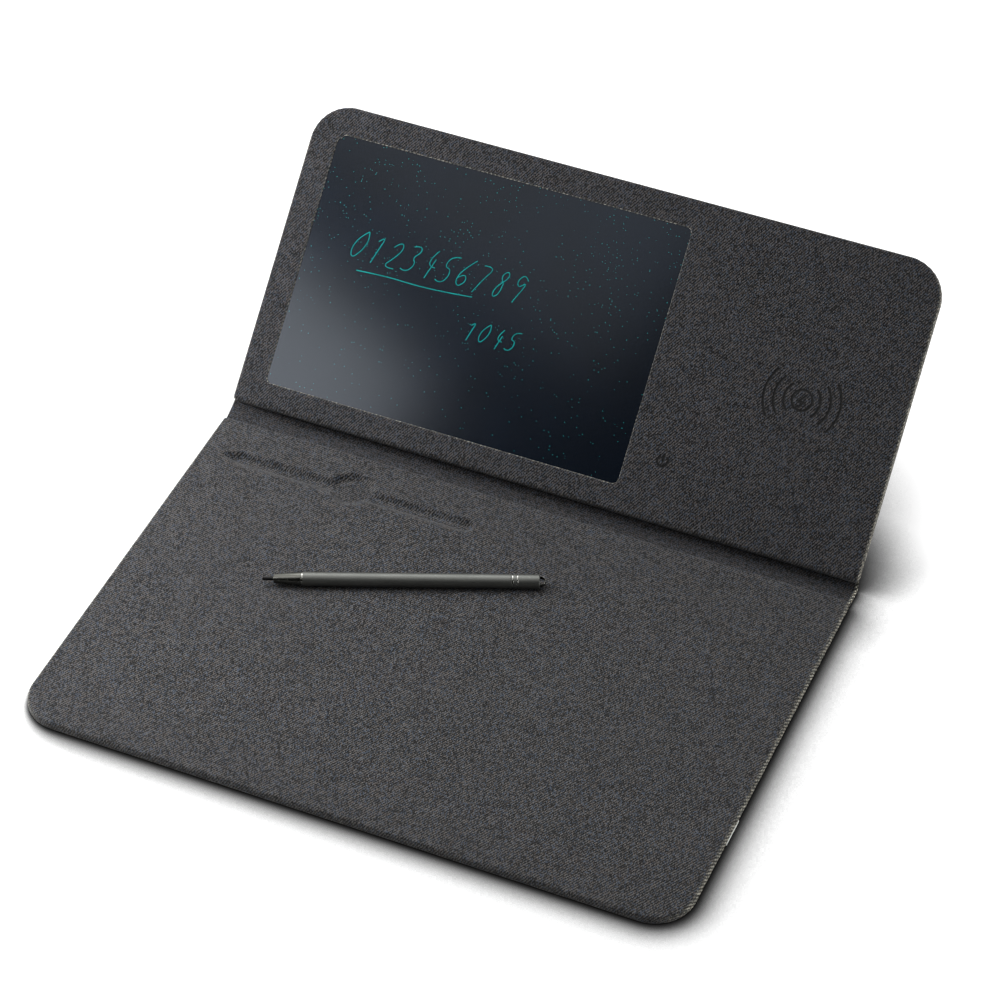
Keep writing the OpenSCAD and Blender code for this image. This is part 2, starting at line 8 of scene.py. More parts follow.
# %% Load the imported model
import json
import math
from functools import partial, reduce
import bmesh
import bpy
from mathutils import Matrix, Vector, noise
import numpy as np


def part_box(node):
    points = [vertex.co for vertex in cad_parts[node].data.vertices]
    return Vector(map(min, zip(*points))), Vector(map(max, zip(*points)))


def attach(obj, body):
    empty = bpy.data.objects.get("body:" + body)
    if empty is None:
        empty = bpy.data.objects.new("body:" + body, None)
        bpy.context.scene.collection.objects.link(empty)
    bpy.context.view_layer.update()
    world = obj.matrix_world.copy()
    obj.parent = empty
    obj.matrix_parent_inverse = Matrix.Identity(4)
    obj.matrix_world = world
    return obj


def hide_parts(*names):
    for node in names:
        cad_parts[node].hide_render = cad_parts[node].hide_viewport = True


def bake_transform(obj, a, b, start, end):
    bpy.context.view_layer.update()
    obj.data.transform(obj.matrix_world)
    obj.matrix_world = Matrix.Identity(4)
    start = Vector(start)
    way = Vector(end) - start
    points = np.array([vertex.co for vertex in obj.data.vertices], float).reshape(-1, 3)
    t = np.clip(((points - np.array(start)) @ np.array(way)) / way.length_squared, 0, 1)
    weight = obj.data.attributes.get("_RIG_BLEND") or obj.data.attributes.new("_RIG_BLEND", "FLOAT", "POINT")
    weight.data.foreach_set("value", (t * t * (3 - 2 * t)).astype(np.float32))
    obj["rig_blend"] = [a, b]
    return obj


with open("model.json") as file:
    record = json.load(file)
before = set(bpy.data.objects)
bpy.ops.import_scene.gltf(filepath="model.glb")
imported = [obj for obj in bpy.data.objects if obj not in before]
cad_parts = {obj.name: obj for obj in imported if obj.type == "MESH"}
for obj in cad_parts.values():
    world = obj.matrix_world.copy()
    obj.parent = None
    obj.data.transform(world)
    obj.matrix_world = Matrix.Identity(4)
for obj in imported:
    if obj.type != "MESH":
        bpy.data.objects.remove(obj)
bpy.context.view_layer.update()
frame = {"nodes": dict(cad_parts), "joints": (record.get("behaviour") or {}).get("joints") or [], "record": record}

mm = 0.001

# %% [markdown]
# ## Camera
# A long lens from the front right, well above the desk, keeps the mat's long sides almost
# parallel. The camera is set by three turns, round the vertical, up from the desk and round
# its own line of sight, because those are easy to read and to change one at a time.

# %% Camera
azimuth, elevation, roll = (math.radians(a) for a in (23.418, 43.339, -0.036))
back = Vector((math.sin(azimuth) * math.cos(elevation),
               -math.cos(azimuth) * math.cos(elevation), math.sin(elevation)))
right = Vector((math.cos(azimuth), math.sin(azimuth), 0))
lens = bpy.data.cameras.new("camera")
lens.lens, lens.sensor_width = 138.61, 36
camera = bpy.data.objects.new("camera", lens)
turn = Matrix((right, back.cross(right), back)).transposed().to_4x4()
camera.matrix_world = (Matrix.Translation((0.5110, -1.10785, 1.2517)) @ turn
                       @ Matrix.Rotation(roll, 4, "Z"))
bpy.context.scene.collection.objects.link(camera)
bpy.context.scene.camera = camera
bpy.context.scene.view_settings.view_transform = "Standard"
print("camera at", [round(c, 3) for c in camera.location])

# %% [markdown]
# ## Where the raised panel lies
# The panel's layers are easiest to draw flat, as they are cut and glued, and then to tip up
# about the fold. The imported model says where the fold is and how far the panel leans, so
# one matrix made from it carries every flat piece into place.

# %% The panel's place
joints = {joint["name"]: joint for joint in frame["joints"]}
mounts = {mount["name"]: mount for mount in frame["record"]["mounts"]}
facing = Vector(mounts["charge_zone"]["axis"])
tilt = math.atan2(-facing.y, facing.z)
fold = Vector(joints["fold"]["pos_m"])
tipped = Matrix.Translation(fold) @ Matrix.Rotation(tilt, 4, "X") @ Matrix.Translation(-fold)


def flat_box(node):
    """Lowest and highest corner of a panel piece, with the panel laid flat about its fold."""
    places = [tipped.inverted() @ v.co for v in frame["nodes"][node].data.vertices]
    return [Vector([pick(p[k] for p in places) for k in range(3)]) for pick in (min, max)]


low, high = flat_box("panel_fabric")
in_panel = tipped @ Matrix.Translation((0, low.y, 0)) @ Matrix.Scale(mm, 4)
panel_d, panel_top = (high.y - low.y) / mm, high.z / mm
low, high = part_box("mat_fabric")
mat_w, mat_d, mat_top = (high.x - low.x) / mm, (high.y - low.y) / mm, high.z / mm
on_mat = Matrix.Scale(mm, 4)
print(f"panel {mat_w:.1f} x {panel_d:.1f} mm, leaning {math.degrees(tilt):.1f} degrees;"
      f" mat {mat_d:.1f} mm deep and {mat_top:.1f} mm thick")

# %% [markdown]
# ## Floor and light
# The object stands on a plain white table in soft studio light, mostly from behind and from
# the left, so the raised panel is darker than the mat. A world brighter on one side gives
# the softness and three lamps the direction. Two cards only show as reflections in the
# screen and the metal. The table's shadow is painted into its colour and glow: it darkens
# where little sky is open above it, read close by and further off.

# %% Node helpers
def join(tree, socket, value):
    """Links a socket to an input, or sets the input to a plain value."""
    if isinstance(value, bpy.types.NodeSocket):
        tree.links.new(value, socket)
    else:
        socket.default_value = value


def wire(tree, node, **inputs):
    """Joins a node's inputs by name. An underscore stands for a space."""
    for name, value in inputs.items():
        join(tree, node.inputs[name.replace("_", " ")], value)


def add(tree, kind, inputs=None, **settings):
    """Adds a shader node. Inputs are given by name or number, as values or as sockets to join."""
    made = tree.nodes.new("ShaderNode" + kind)
    for name, value in settings.items():
        setattr(made, name, value)
    for name, value in (inputs or {}).items():
        join(tree, made.inputs[name], value)
    return made


def calc(tree, operation, *terms):
    """A sum on sockets and numbers."""
    return add(tree, "Math", dict(enumerate(terms)), operation=operation).outputs[0]


def product(tree, *terms):
    """The terms multiplied together."""
    return reduce(partial(calc, tree, "MULTIPLY"), terms)


def axes(tree, vector):
    """The X, Y and Z of a vector or colour."""
    return add(tree, "SeparateXYZ", {0: vector}).outputs


def grey(tree, value):
    """A colour with the value in all three channels."""
    return add(tree, "CombineColor", {0: value, 1: value, 2: value}).outputs[0]


def mixed(tree, amount, first, second, how="MIX"):
    """A mix of two colours."""
    return add(tree, "Mix", {0: amount, 6: first, 7: second}, data_type="RGBA",
               blend_type=how).outputs[2]


def spread(tree, value, low, high, to_low=0.0, to_high=1.0):
    """Carries a value's range low to high over to another range, and holds it there."""
    return add(tree, "MapRange", {0: value, 1: low, 2: high, 3: to_low, 4: to_high}).outputs[0]


def tone(code):
    """A screen colour such as 4a4c50 as the plain light values that shaders use."""
    parts = [int(code[k:k + 2], 16) / 255 for k in (0, 2, 4)]
    return [c / 12.92 if c < 0.04045 else ((c + 0.055) / 1.055) ** 2.4 for c in parts] + [1]


print("white is", tone("ffffff"))

# %% World and lamps
world = bpy.data.worlds.new("studio")
bpy.context.scene.world = world
world.use_nodes = True
sky = world.node_tree
seen_from = add(sky, "TexCoord").outputs["Generated"]
bright_side = Vector((-0.45, 0.36, 0.82)).normalized()
towards = add(sky, "VectorMath", {0: seen_from, 1: bright_side}, operation="DOT_PRODUCT")
glow = spread(sky, towards.outputs["Value"], 0.46, 1.0, 0.02, 2.5)
wire(sky, sky.nodes["Background"], Strength=glow, Color=(1, 1, 1, 1))


def lamp(name, place, aim, size, watts, lights=True, shows=True):
    """A soft square lamp at place, facing aim. It may light nothing, or not show in gloss."""
    light = bpy.data.lights.new(name, "AREA")
    light.size, light.energy = size, watts
    holder = bpy.data.objects.new(name, light)
    holder.location = place
    holder.visible_diffuse, holder.visible_glossy = lights, shows
    holder.rotation_euler = (Vector(place) - Vector(aim)).to_track_quat("Z", "Y").to_euler()
    bpy.context.scene.collection.objects.link(holder)


lamp("back_lamp", (-0.5, 0.8, 1.3), (0, 0.1, 0), 0.7, 7)
lamp("left_lamp", (-0.38, -0.02, 0.32), (-0.1, 0.0, 0.0), 0.3, 4.5, shows=False)
lamp("rim_lamp", (1.4, 0.35, 0.16), (0.16, 0.05, 0.02), 0.3, 9)
lamp("near_card", (-0.73, -0.63, 0.72), (-0.14, 0.14, 0.03), 0.46, 5.2, lights=False)
lamp("high_card", (-0.46, -0.35, 1.16), (-0.08, 0.2, 0.09), 0.56, 1.45, lights=False)
print("five lamps and a world")

# %% Floor
white, unlit_share, close_by, further_off = 0.78, 0.4, 0.04, 0.1
table = bpy.data.materials.new("white_table")
table.use_nodes = True
tree = table.node_tree
path = add(tree, "LightPath").outputs
seen = reduce(partial(calc, tree, "MAXIMUM"),
              [path[f"Is {kind} Ray"] for kind in ("Camera", "Glossy", "Transmission")])
slanted = add(tree, "CombineXYZ", {0: -0.62, 1: 0.5, 2: 0.6}).outputs[0]
# Painted shadow: two readings of open sky, close by and further off, darken the table's colour and glow.
contact, overhead = (add(tree, "AmbientOcclusion", reach, samples=16).outputs["AO"] for reach in
                     ({"Distance": close_by, "Normal": slanted}, {"Distance": further_off}))
open_sky = spread(tree, overhead, 0.46, 0.8, 0.08, 1.0)
near_edge = calc(tree, "MULTIPLY_ADD", calc(tree, "POWER", contact, 6.6), 1.1, 0.03)
shade = product(tree, calc(tree, "MINIMUM", near_edge, 1.0), open_sky)
pale = grey(tree, product(tree, shade, unlit_share))
wire(tree, tree.nodes["Principled BSDF"], Roughness=0.9, Specular_IOR_Level=0.1,
     Base_Color=mixed(tree, seen, (white, white, white, 1), pale),
     Emission_Color=(1, 1, 1, 1), Emission_Strength=product(tree, seen, shade, white))
bm = bmesh.new()
bmesh.ops.create_grid(bm, x_segments=4, y_segments=4, size=4)
mesh = bpy.data.meshes.new("table_top")
bm.to_mesh(mesh)
bm.free()
mesh.materials.append(table)
floor = bpy.data.objects.new("table_top", mesh)
floor.location.z = -0.0002
bpy.context.scene.collection.objects.link(floor)
print("table top at", floor.location.z)

# %% [markdown]
# ## Finishes that several materials share
# Woven cloth, fine grain, brushed metal and the marks of handling each turn up on more than
# one piece. Each is a node group with named inputs, so a piece only chooses its own values.

# %% Group helper
def new_group(name, takes, gives):
    """An empty shader group. takes and gives list its sockets' labels by kind."""
    made = bpy.data.node_groups.new(name, "ShaderNodeTree")
    for way, lists in (("INPUT", takes), ("OUTPUT", gives)):
        for kind, labels in lists.items():
            for label in labels:
                made.interface.new_socket(label, in_out=way, socket_type="NodeSocket" + kind)
    enter, leave = made.nodes.new("NodeGroupInput"), made.nodes.new("NodeGroupOutput")
    return made, enter.outputs, leave


def use(tree, group, **inputs):
    """Puts a group into a tree and returns its outputs."""
    made = add(tree, "Group", node_tree=group)
    wire(tree, made, **inputs)
    return made.outputs

# %% [markdown]
# ### Woven yarns
# The cover is a melange twill: light and dark grey yarns pass over two and under one, and
# each row starts one yarn further on, which draws slanting lines. The group divides the
# cloth into cells one yarn wide. A count of three along the slant says which yarn lies on
# top in each cell, the cell's own middle gives the yarn its round back, and slow noise
# along each yarn changes its shade. The colour also darkens towards each yarn's sides,
# which is painted shade in the hollows between yarns. Less order scatters the slant into
# short strokes.

# %% Woven yarns group
weave, take, give = new_group(
    "woven_yarns",
    {"Vector": ["Cloth"], "Float": ["Across", "Along", "Order", "Weft"],
     "Color": ["Light yarn", "Dark yarn", "Warm tint", "Cool tint"]},
    {"Color": ["Color"], "Float": ["Height"]})
put, do, remap = (partial(helper, weave) for helper in (add, calc, spread))
times = partial(product, weave)
flat = axes(weave, take["Cloth"])
u, v = do("DIVIDE", flat["X"], take["Across"]), do("DIVIDE", flat["Y"], take["Along"])
column, row = do("FLOOR", u), do("FLOOR", v)
shuffle = put("TexWhiteNoise", {"W": row}, noise_dimensions="1D").outputs["Value"]
slip = do("FLOOR", times(shuffle, do("SUBTRACT", 1.0, take["Order"]), 3.0))
count = do("FLOORED_MODULO", do("ADD", do("SUBTRACT", column, row), slip), 3.0)
upright = do("LESS_THAN", count, 1.5)


def round_back(place):
    """Height of a round yarn, from 1 on its middle line to 0 at its sides."""
    offset = do("SUBTRACT", do("FRACT", place), 0.5)
    return do("SUBTRACT", 1.0, times(4.0, times(offset, offset)))


def yarn_shade(fixed, running, stretch, seed):
    """Shade that stays with one yarn and changes slowly along it."""
    place = put("CombineXYZ", {0: times(fixed, 3.37), 1: times(running, stretch), 2: seed})
    return put("TexNoise", {"Vector": place.outputs[0], "Scale": 1.0, "Detail": 2.0,
                            "Roughness": 0.7}).outputs["Fac"]


def on_top(weft_value, warp_value):
    """The value of the yarn that lies on top in each cell."""
    return put("Mix", {0: upright, 2: weft_value, 3: warp_value}).outputs[0]


height = on_top(times(round_back(v), 0.8), round_back(u))
yarn = on_top(remap(yarn_shade(row, u, 0.33, 11.0), 0.5, 0.7, 0.0, take["Weft"]),
              remap(yarn_shade(column, v, 0.33, 3.0), 0.36, 0.66, 0.4, 1.0))
cell = put("CombineXYZ", {0: column, 1: row}).outputs[0]
speck = put("TexWhiteNoise", {"Vector": cell}, noise_dimensions="2D").outputs
slub = remap(yarn_shade(row, u, 0.045, 23.0), 0.42, 0.66, 0.84, 1.26)
slub_up = remap(yarn_shade(column, v, 0.09, 31.0), 0.45, 0.66, 0.85, 1.2)
slant = times(do("ADD", do("SUBTRACT", u, v), slip), 2 * math.pi / 3)
ridge = do("MULTIPLY_ADD", do("SINE", slant), 0.5, 1.0)
lone = remap(axes(weave, speck["Color"])["X"], 0.0, 1.0, 0.28, 1.74)
shade = do("POWER", times(times(yarn, ridge), times(slub, slub_up), lone), 3.0)
body = mixed(weave, shade, take["Dark yarn"], take["Light yarn"])
warm = mixed(weave, remap(speck["Value"], 0.78, 0.95, 0.0, 0.45), body, take["Warm tint"])
cool = mixed(weave, times(remap(speck["Value"], 0.22, 0.05), 0.45), warm, take["Cool tint"])
# Painted shade: the colour darkens towards each yarn's sides, in the hollows between yarns.
hollow_shade = grey(weave, remap(height, 0.0, 0.8, 0.05, 1.0))
wire(weave, give, Color=mixed(weave, 1.0, cool, hollow_shade, "MULTIPLY"), Height=height)
print("woven_yarns:", len(weave.nodes), "nodes")

# %% [markdown]
# ### Grain, brushing and handling
# Moulded plastic, board and suede differ mostly in the size of their grain, so one group of
# two noises serves them all. Turned metal has fine lines round it, which is the same noise
# pulled long. Handling leaves broad, soft patches, which change the gloss a little.

# %% Grain, brushed and handled groups
masks = {"Float": ["Mask", "Height"]}
grain, take, give = new_group("fine_grain", {"Vector": ["Place"], "Float": ["Size"]}, masks)
pattern = {"Vector": take["Place"], "Scale": calc(grain, "DIVIDE", 1.0, take["Size"])}
small = add(grain, "TexNoise", {**pattern, "Detail": 4.0}).outputs["Fac"]
pits = add(grain, "TexVoronoi", pattern).outputs["Distance"]
wire(grain, give, Mask=spread(grain, small, 0.35, 0.65),
     Height=calc(grain, "ADD", product(grain, small, 0.6), product(grain, pits, 0.4)))

brushed, take, give = new_group("brushed_lines", {"Vector": ["Place", "Pull"]}, masks)
pulled = add(brushed, "VectorMath", {0: take["Place"], 1: take["Pull"]}, operation="MULTIPLY")
lines = add(brushed, "TexNoise", {"Vector": pulled.outputs[0], "Scale": 1.0, "Detail": 5.0,
                                  "Roughness": 0.65}).outputs["Fac"]
wire(brushed, give, Mask=spread(brushed, lines, 0.3, 0.7), Height=lines)

handled, take, give = new_group("handling", {"Vector": ["Place"], "Float": ["Size"]},
                                {"Float": ["Mask"]})
scale = calc(handled, "DIVIDE", 1.0, take["Size"])
broad = add(handled, "TexNoise", {"Vector": take["Place"], "Scale": scale, "Detail": 3.0,
                                  "Distortion": 0.4}).outputs["Fac"]
wire(handled, give, Mask=spread(handled, broad, 0.35, 0.68))
print("groups:", [group.name for group in bpy.data.node_groups])

# %% Start of a material
def finish(name, colour, roughness, **plain):
    """A new material with its plain values set. Returns it, its tree and its shader."""
    material = bpy.data.materials.new(name)
    material.use_nodes = True
    tree = material.node_tree
    shader = tree.nodes["Principled BSDF"]
    wire(tree, shader, Base_Color=tone(colour), Roughness=roughness, **plain)
    return material, tree, shader


def place_mm(tree):
    """The piece's own coordinates, in millimetres."""
    return add(tree, "VectorMath", {0: add(tree, "TexCoord").outputs["Object"], "Scale": 1000.0},
               operation="SCALE").outputs[0]


def attribute(tree, name):
    """A value kept on the mesh."""
    return add(tree, "Attribute", attribute_name=name, attribute_type="GEOMETRY").outputs


def bump(tree, shader, height, depth_mm):
    """Joins a height to the shader's normal."""
    made = add(tree, "Bump", {"Height": height, "Distance": depth_mm * mm, "Strength": 1.0})
    wire(tree, shader, Normal=made.outputs[0])


def soiled(tree, place, size, amount, clean, soil):
    """A colour that takes on another in broad patches, as handling leaves them."""
    mask = use(tree, handled, Place=place, Size=size)["Mask"]
    return mask, mixed(tree, product(tree, mask, amount), clean, soil)

# %% [markdown]
# ### The cover cloth
# The same cloth covers mat and panel. On the mat it is a little greyer and its twill less
# clear. Where it is pressed into a mark it is painted almost black, as painted shade in the
# grooves, and it is a little glossier there. Where it turns over an edge the yarns open and
# the light ones show, and on the side walls that light colour is also a painted rim
# highlight. The meshes carry a flat position of the cloth, so the weave runs on round every
# edge, and two values: how pressed it is, and how open and lit its yarns are.

# %% Cover cloth
def cover_cloth(name, order, weft, light, dark, along):
    """Melange twill that follows the cloth, pressed and edge values on the mesh."""
    material, tree, shader = finish(name, light, 0.92, Sheen_Weight=0.06, Sheen_Roughness=0.45,
                                    Specular_IOR_Level=0.25)
    cloth = attribute(tree, "cloth")["Vector"]
    yarns = use(tree, weave, Cloth=cloth, Order=order, Weft=weft, Across=0.45, Along=along,
                Light_yarn=tone(light), Dark_yarn=tone(dark), Warm_tint=tone("4a4038"),
                Cool_tint=tone("56606f"))
    # The light opened yarns mark cut and turned edges. On the side walls they are also a painted rim highlight.
    opened_and_lit = use(tree, weave, Cloth=cloth, Order=order, Weft=0.9, Across=0.7, Along=0.7,
                 Light_yarn=tone("cbc8ba"), Dark_yarn=tone("26231f"), Warm_tint=tone("8d7f6c"),
                 Cool_tint=tone("8a918c"))
    colour = mixed(tree, attribute(tree, "edge")["Fac"], yarns["Color"], opened_and_lit["Color"])
    colour = soiled(tree, cloth, 34.0, 0.03, colour, tone(light))[1]
    # Painted shade: the pressed grooves are painted almost black, and they are a little glossier.
    pressed = attribute(tree, "pressed")["Fac"]
    wire(tree, shader, Base_Color=mixed(tree, pressed, colour, tone("030303")),
         Roughness=spread(tree, pressed, 0.0, 1.0, 0.92, 0.7))
    bump(tree, shader, yarns["Height"], 0.12)
    return material


mat_cloth = cover_cloth("mat_cloth", 0.85, 0.4, "525151", "040404", 0.75)
panel_cloth = cover_cloth("panel_cloth", 0.92, 0.1, "504f51", "020202", 0.64)
# The spine's yarns are darker than the mat's. This is painted shade of the crease under the raised panel.
spine_cloth = cover_cloth("spine_weave_shaded", 0.8, 0.3, "403f41", "080808", 0.6)
print([m.name for m in (mat_cloth, panel_cloth, spine_cloth)])

# %% [markdown]
# ## Mesh helpers
# A cover starts as one flat grid. Its rows are moved so that they gather where the shape
# changes, which costs fewer faces than an even grid. Everything is drawn in millimetres and
# brought to its place, in metres, as the piece is made.

# %% Rows, grids and pieces
def rows(*stretches):
    """Positions of a grid's rows. Each stretch is (from, to, step)."""
    places = []
    for start, end, step in stretches:
        count = max(1, round((end - start) / step))
        places += [start + (end - start) * k / count for k in range(count)]
    return places + [stretches[-1][1]]


def grid_of(xs, ys):
    """A flat grid with its rows at xs and ys, and the values that the cloth finish reads."""
    bm = bmesh.new()
    for layer in ("edge", "pressed"):
        bm.verts.layers.float.new(layer)
    bm.verts.layers.float_vector.new("cloth")
    bmesh.ops.create_grid(bm, x_segments=len(xs) - 1, y_segments=len(ys) - 1, size=0.5)
    for v in bm.verts:
        v.co.x = xs[round((v.co.x + 0.5) * (len(xs) - 1))]
        v.co.y = ys[round((v.co.y + 0.5) * (len(ys) - 1))]
    cloth = bm.verts.layers.float_vector["cloth"]
    for v in bm.verts:
        v[cloth] = v.co
    return bm


def border_of(bm):
    """The open edges of a mesh."""
    return [e for e in bm.edges if e.is_boundary]


def piece(bm, name, place, *materials, smooth=True, sharp=None):
    """Makes the mesh a piece, with its place in its mesh. Edges over sharp degrees stay sharp."""
    bm.transform(place)
    for face in bm.faces:
        face.smooth = smooth
    mesh = bpy.data.meshes.new(name)
    bm.to_mesh(mesh)
    bm.free()
    for material in materials:
        mesh.materials.append(material)
    if sharp:
        mesh.set_sharp_from_angle(angle=math.radians(sharp))
    made = bpy.data.objects.new(name, mesh)
    bpy.context.scene.collection.objects.link(made)
    print(name, len(mesh.polygons), "faces")
    return made


def stands_for(made, body, node):
    """Says what the piece moves with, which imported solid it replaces."""
    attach(made, body)
    if node:
        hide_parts(node)


def thicken(made, thickness):
    """Gives cloth its thickness, inward from its face."""
    thick = made.modifiers.new("cloth_thickness", "SOLIDIFY")
    thick.thickness, thick.offset = thickness * mm, -1


def ease(value, low, high):
    """0 below low, 1 above high, and a smooth step between."""
    t = min(max((value - low) / (high - low), 0), 1)
    return t * t * (3 - 2 * t)

# %% Outlines with rounded corners
def corner_offset(p, outline):
    """From the nearest corner's centre, or the straight side's line, to p."""
    half, low, high, near, far = outline
    r, y = (near, low + near) if p.y < (low + high) / 2 else (far, high - far)
    dx = math.copysign(max(abs(p.x) - half + r, 0), p.x)
    dy = min(p.y - y, 0) if p.y < (low + high) / 2 else max(p.y - y, 0)
    return Vector((dx, dy, 0))


def round_corners(bm, outline):
    """Turns the square rings of rows at each corner into round ones."""
    for v in bm.verts:
        q = corner_offset(v.co, outline)
        if q.x and q.y:
            v.co += q * (max(abs(q.x), abs(q.y)) / q.length - 1)


def wrap(bm, edges, direction, steps):
    """Carries a border on, ring by ring. Each step is (out, up, edge value)."""
    edge, cloth = bm.verts.layers.float["edge"], bm.verts.layers.float_vector["cloth"]
    for out, up, opened_and_lit in steps:
        made = bmesh.ops.extrude_edge_only(bm, edges=edges)["geom"]
        fresh = {g for g in made if isinstance(g, bmesh.types.BMVert)}
        edges = [g for g in made if isinstance(g, bmesh.types.BMEdge) and set(g.verts) <= fresh]
        for v in fresh:
            way = direction(v.co)
            v[cloth] += way * math.hypot(out, up)
            v.co += way * out + Vector((0, 0, up))
            v[edge] = opened_and_lit
    return edges


def turned_edge(radius, drop, edge_value, segments=6):
    """Steps of a soft quarter turn of radius, then a straight wall down to drop in all."""
    steps, last = [], (0, 0)
    for k in range(1, segments + 1):
        angle = math.pi / 2 * k / segments
        here = (radius * math.sin(angle), -radius * (1 - math.cos(angle)))
        steps.append((here[0] - last[0], here[1] - last[1], edge_value * k / segments))
        last = here
    rest = drop - radius
    return steps + [(0, -rest / 5, edge_value)] * 5


def outward(outline):
    """The way outward from an outline, as a function of a place."""
    return lambda p: corner_offset(p, outline).normalized()


def rim_lit_and_opened_at(q):
    """How open and lit the yarns are at an edge that faces along q: wide at the sides only. The light yarns there
    are partly opened cloth and partly a painted rim highlight.
    """
    return 0.04 + 0.96 * (q.x / max(q.length, 1e-6)) ** 4


def pleat(bm, outline, at_corner, depth, sink=0.0):
    """Gathers the border into small pleats at the corners that at_corner accepts."""
    inner, rim_start = 16.5, 18.6
    for v in bm.verts:
        q = corner_offset(v.co, outline)
        if q.x and q.y and at_corner(v.co) and q.length > inner:
            angle = math.degrees(math.atan2(abs(q.x), abs(q.y)))
            fan = ease(angle, 4, 16) * (1 - ease(angle, 74, 86))
            fold_in = 0.5 - 0.5 * math.cos(math.radians(angle * 36 + 20 * math.sin(angle / 7)))
            v.co -= q.normalized() * depth * fan * fold_in * ease(q.length, inner, rim_start)
            v.co.z -= sink * fan * fold_in * ease(q.length, inner, 18.0)

# %% [markdown]
# ## The mat's cover
# Cloth is stretched over foam and glued down round the board. The pen's channel is pressed
# into the foam with a heated tool, so its shoulders are soft, and the cloth gathers into
# small pleats where it goes round the two front corners. A distance to the channel's
# outline gives the height everywhere: deep inside it, level outside, and a soft shoulder
# between, which is simpler than joining separate walls and floors.

# %% Pen channel
channel_x, channel_y, channel_w, channel_len = -149.7, 82.55, 9.4, 132.0
channel_point, notch_x, notch_rise, notch_r = 9.0, 67.7, 1.7, 11.25
channel_floor, notch_blend = 1.6, 1.2


def to_channel(p):
    """Distance from p to the channel's outline, less than nothing inside it."""
    x, y = p.x - channel_x, p.y - channel_y
    half = channel_w / 2
    if x < channel_point:
        slot = (channel_point * abs(y) - half * x) / math.hypot(channel_point, half)
    else:
        slot = math.hypot(max(x - channel_len + half, 0), y) - half
    notch = math.hypot(x - notch_x, y - notch_rise) - notch_r
    blend = max(notch_blend - abs(slot - notch), 0) / notch_blend
    return min(slot, notch) - blend * blend * notch_blend / 4


print("channel floor", channel_floor, "mm above the desk")

# %% Mat cover
turn_r, base_t = 1.1, 0.6
half, front, rear = mat_w / 2 - turn_r, -mat_d / 2 + turn_r, mat_d / 2 - turn_r
left = -half
xs = rows((left, -151.5, 0.9), (-151.5, -139.5, 0.5), (-139.5, -95, 1.6), (-95, -69, 0.5),
          (-69, -25, 1.6), (-25, -15, 0.5), (-15, 138, 4.5), (138, half, 0.9))
ys = rows((front, -86, 0.9), (-86, 68, 4.5), (68, 72, 1), (72, 97, 0.45), (97, rear - 0.4, 1.5),
          (rear - 0.4, rear, 0.2))
bm = grid_of(xs, ys)
cloth = bm.verts.layers.float_vector["cloth"]
corner_r = 19.0
mat_outline = (mat_w / 2, -mat_d / 2, mat_d / 2, corner_r, 1.2)
round_corners(bm, mat_outline)
for v in bm.verts:
    v[cloth] = v.co
    distance, aside = to_channel(v.co), (v.co.y - channel_y) / (channel_w / 2)
    gentle = ease(-aside * channel_w / 2, -3, 3)
    slender = ease(v.co.x - channel_x, 2, 14)
    dip = ease(distance, -1.2 - 1.4 * slender - 3.4 * gentle, 0.6 + 0.4 * gentle)
    v[cloth].y += 0.9 * dip * min(max(aside, -1), 1)
    v.co.z = channel_floor + (mat_top - channel_floor) * dip
    swell = noise.noise(Vector((v.co.x / 40, v.co.y / 40, 3.7)))
    v.co.z += 0.06 * swell * ease(distance, 1, 8)
wrap(bm, border_of(bm), outward(mat_outline), turned_edge(turn_r, mat_top - base_t, 1.0))
edge = bm.verts.layers.float["edge"]
# Only the side walls keep their light opened yarns: partly opened cloth, partly a painted rim highlight.
for v in bm.verts:
    v[edge] *= rim_lit_and_opened_at(corner_offset(v.co, mat_outline))
pleat(bm, mat_outline, lambda p: p.y < 0, 0.16, 0.08)
mat_cover = piece(bm, "mat_cover", on_mat, mat_cloth)
thicken(mat_cover, 0.3)
stands_for(mat_cover, "mat", "mat_fabric")

# %% [markdown]
# ## The panel's cover
# The panel's cloth has a window for the writing screen, with a cut edge whose light threads
# show all round it, and two marks pressed into it: rings and arcs over the charging coil,
# and an open ring with a bar over the erase key. A line's middle gives a distance again,
# and a narrow smooth step round it presses the groove.

# %% Window and marks
near_side, lap = flat_box("panel_fabric")[0].y, Vector((1.0, 1.0, 0))


def on_face(place):
    """A place of the flat panel in millimetres from its near side, without its height."""
    return Vector((place.x, place.y - near_side, 0)) / mm


low, high = flat_box("writing_screen")
window_low, window_high = on_face(low) + lap, on_face(high) - lap
window_mid = (window_low + window_high) / 2
window_half = (window_high - window_low) / 2
window_r, rim = 3.0, 0.45
coil_low, coil_high = flat_box("charging_coil")
key_low, key_high = flat_box("erase_key")
charge, key = on_face((coil_low + coil_high) / 2), on_face((key_low + key_high) / 2)
half_line = 0.38
arcs = [(8.8, 46), (13.7, 40), (18.6, 37)]
bolt = [Vector(p) for p in ((1.41, 2.6, 0), (-1.49, -0.9, 0), (1.2, -0.68, 0), (-0.87, -3.58, 0))]
print(f"window {2 * window_half.x:.1f} x {2 * window_half.y:.1f} mm, charging mark at"
      f" {charge.x:.1f}, {charge.y:.1f} and key mark at {key.x:.1f}, {key.y:.1f}")


def to_line(p, a, b):
    """Distance from p to the straight line from a to b."""
    along = b - a
    t = min(max((p - a).dot(along) / along.length_squared, 0), 1)
    return (p - a - along * t).length


def to_arc(p, radius, span):
    """Distance from p to the pair of arcs that open left and right."""
    angle, limit = math.atan2(abs(p.y), abs(p.x)), math.radians(span)
    if angle < limit:
        return abs(p.length - radius)
    tip = radius * Vector((math.cos(limit), math.sin(limit), 0))
    return (Vector((abs(p.x), abs(p.y), 0)) - tip).length


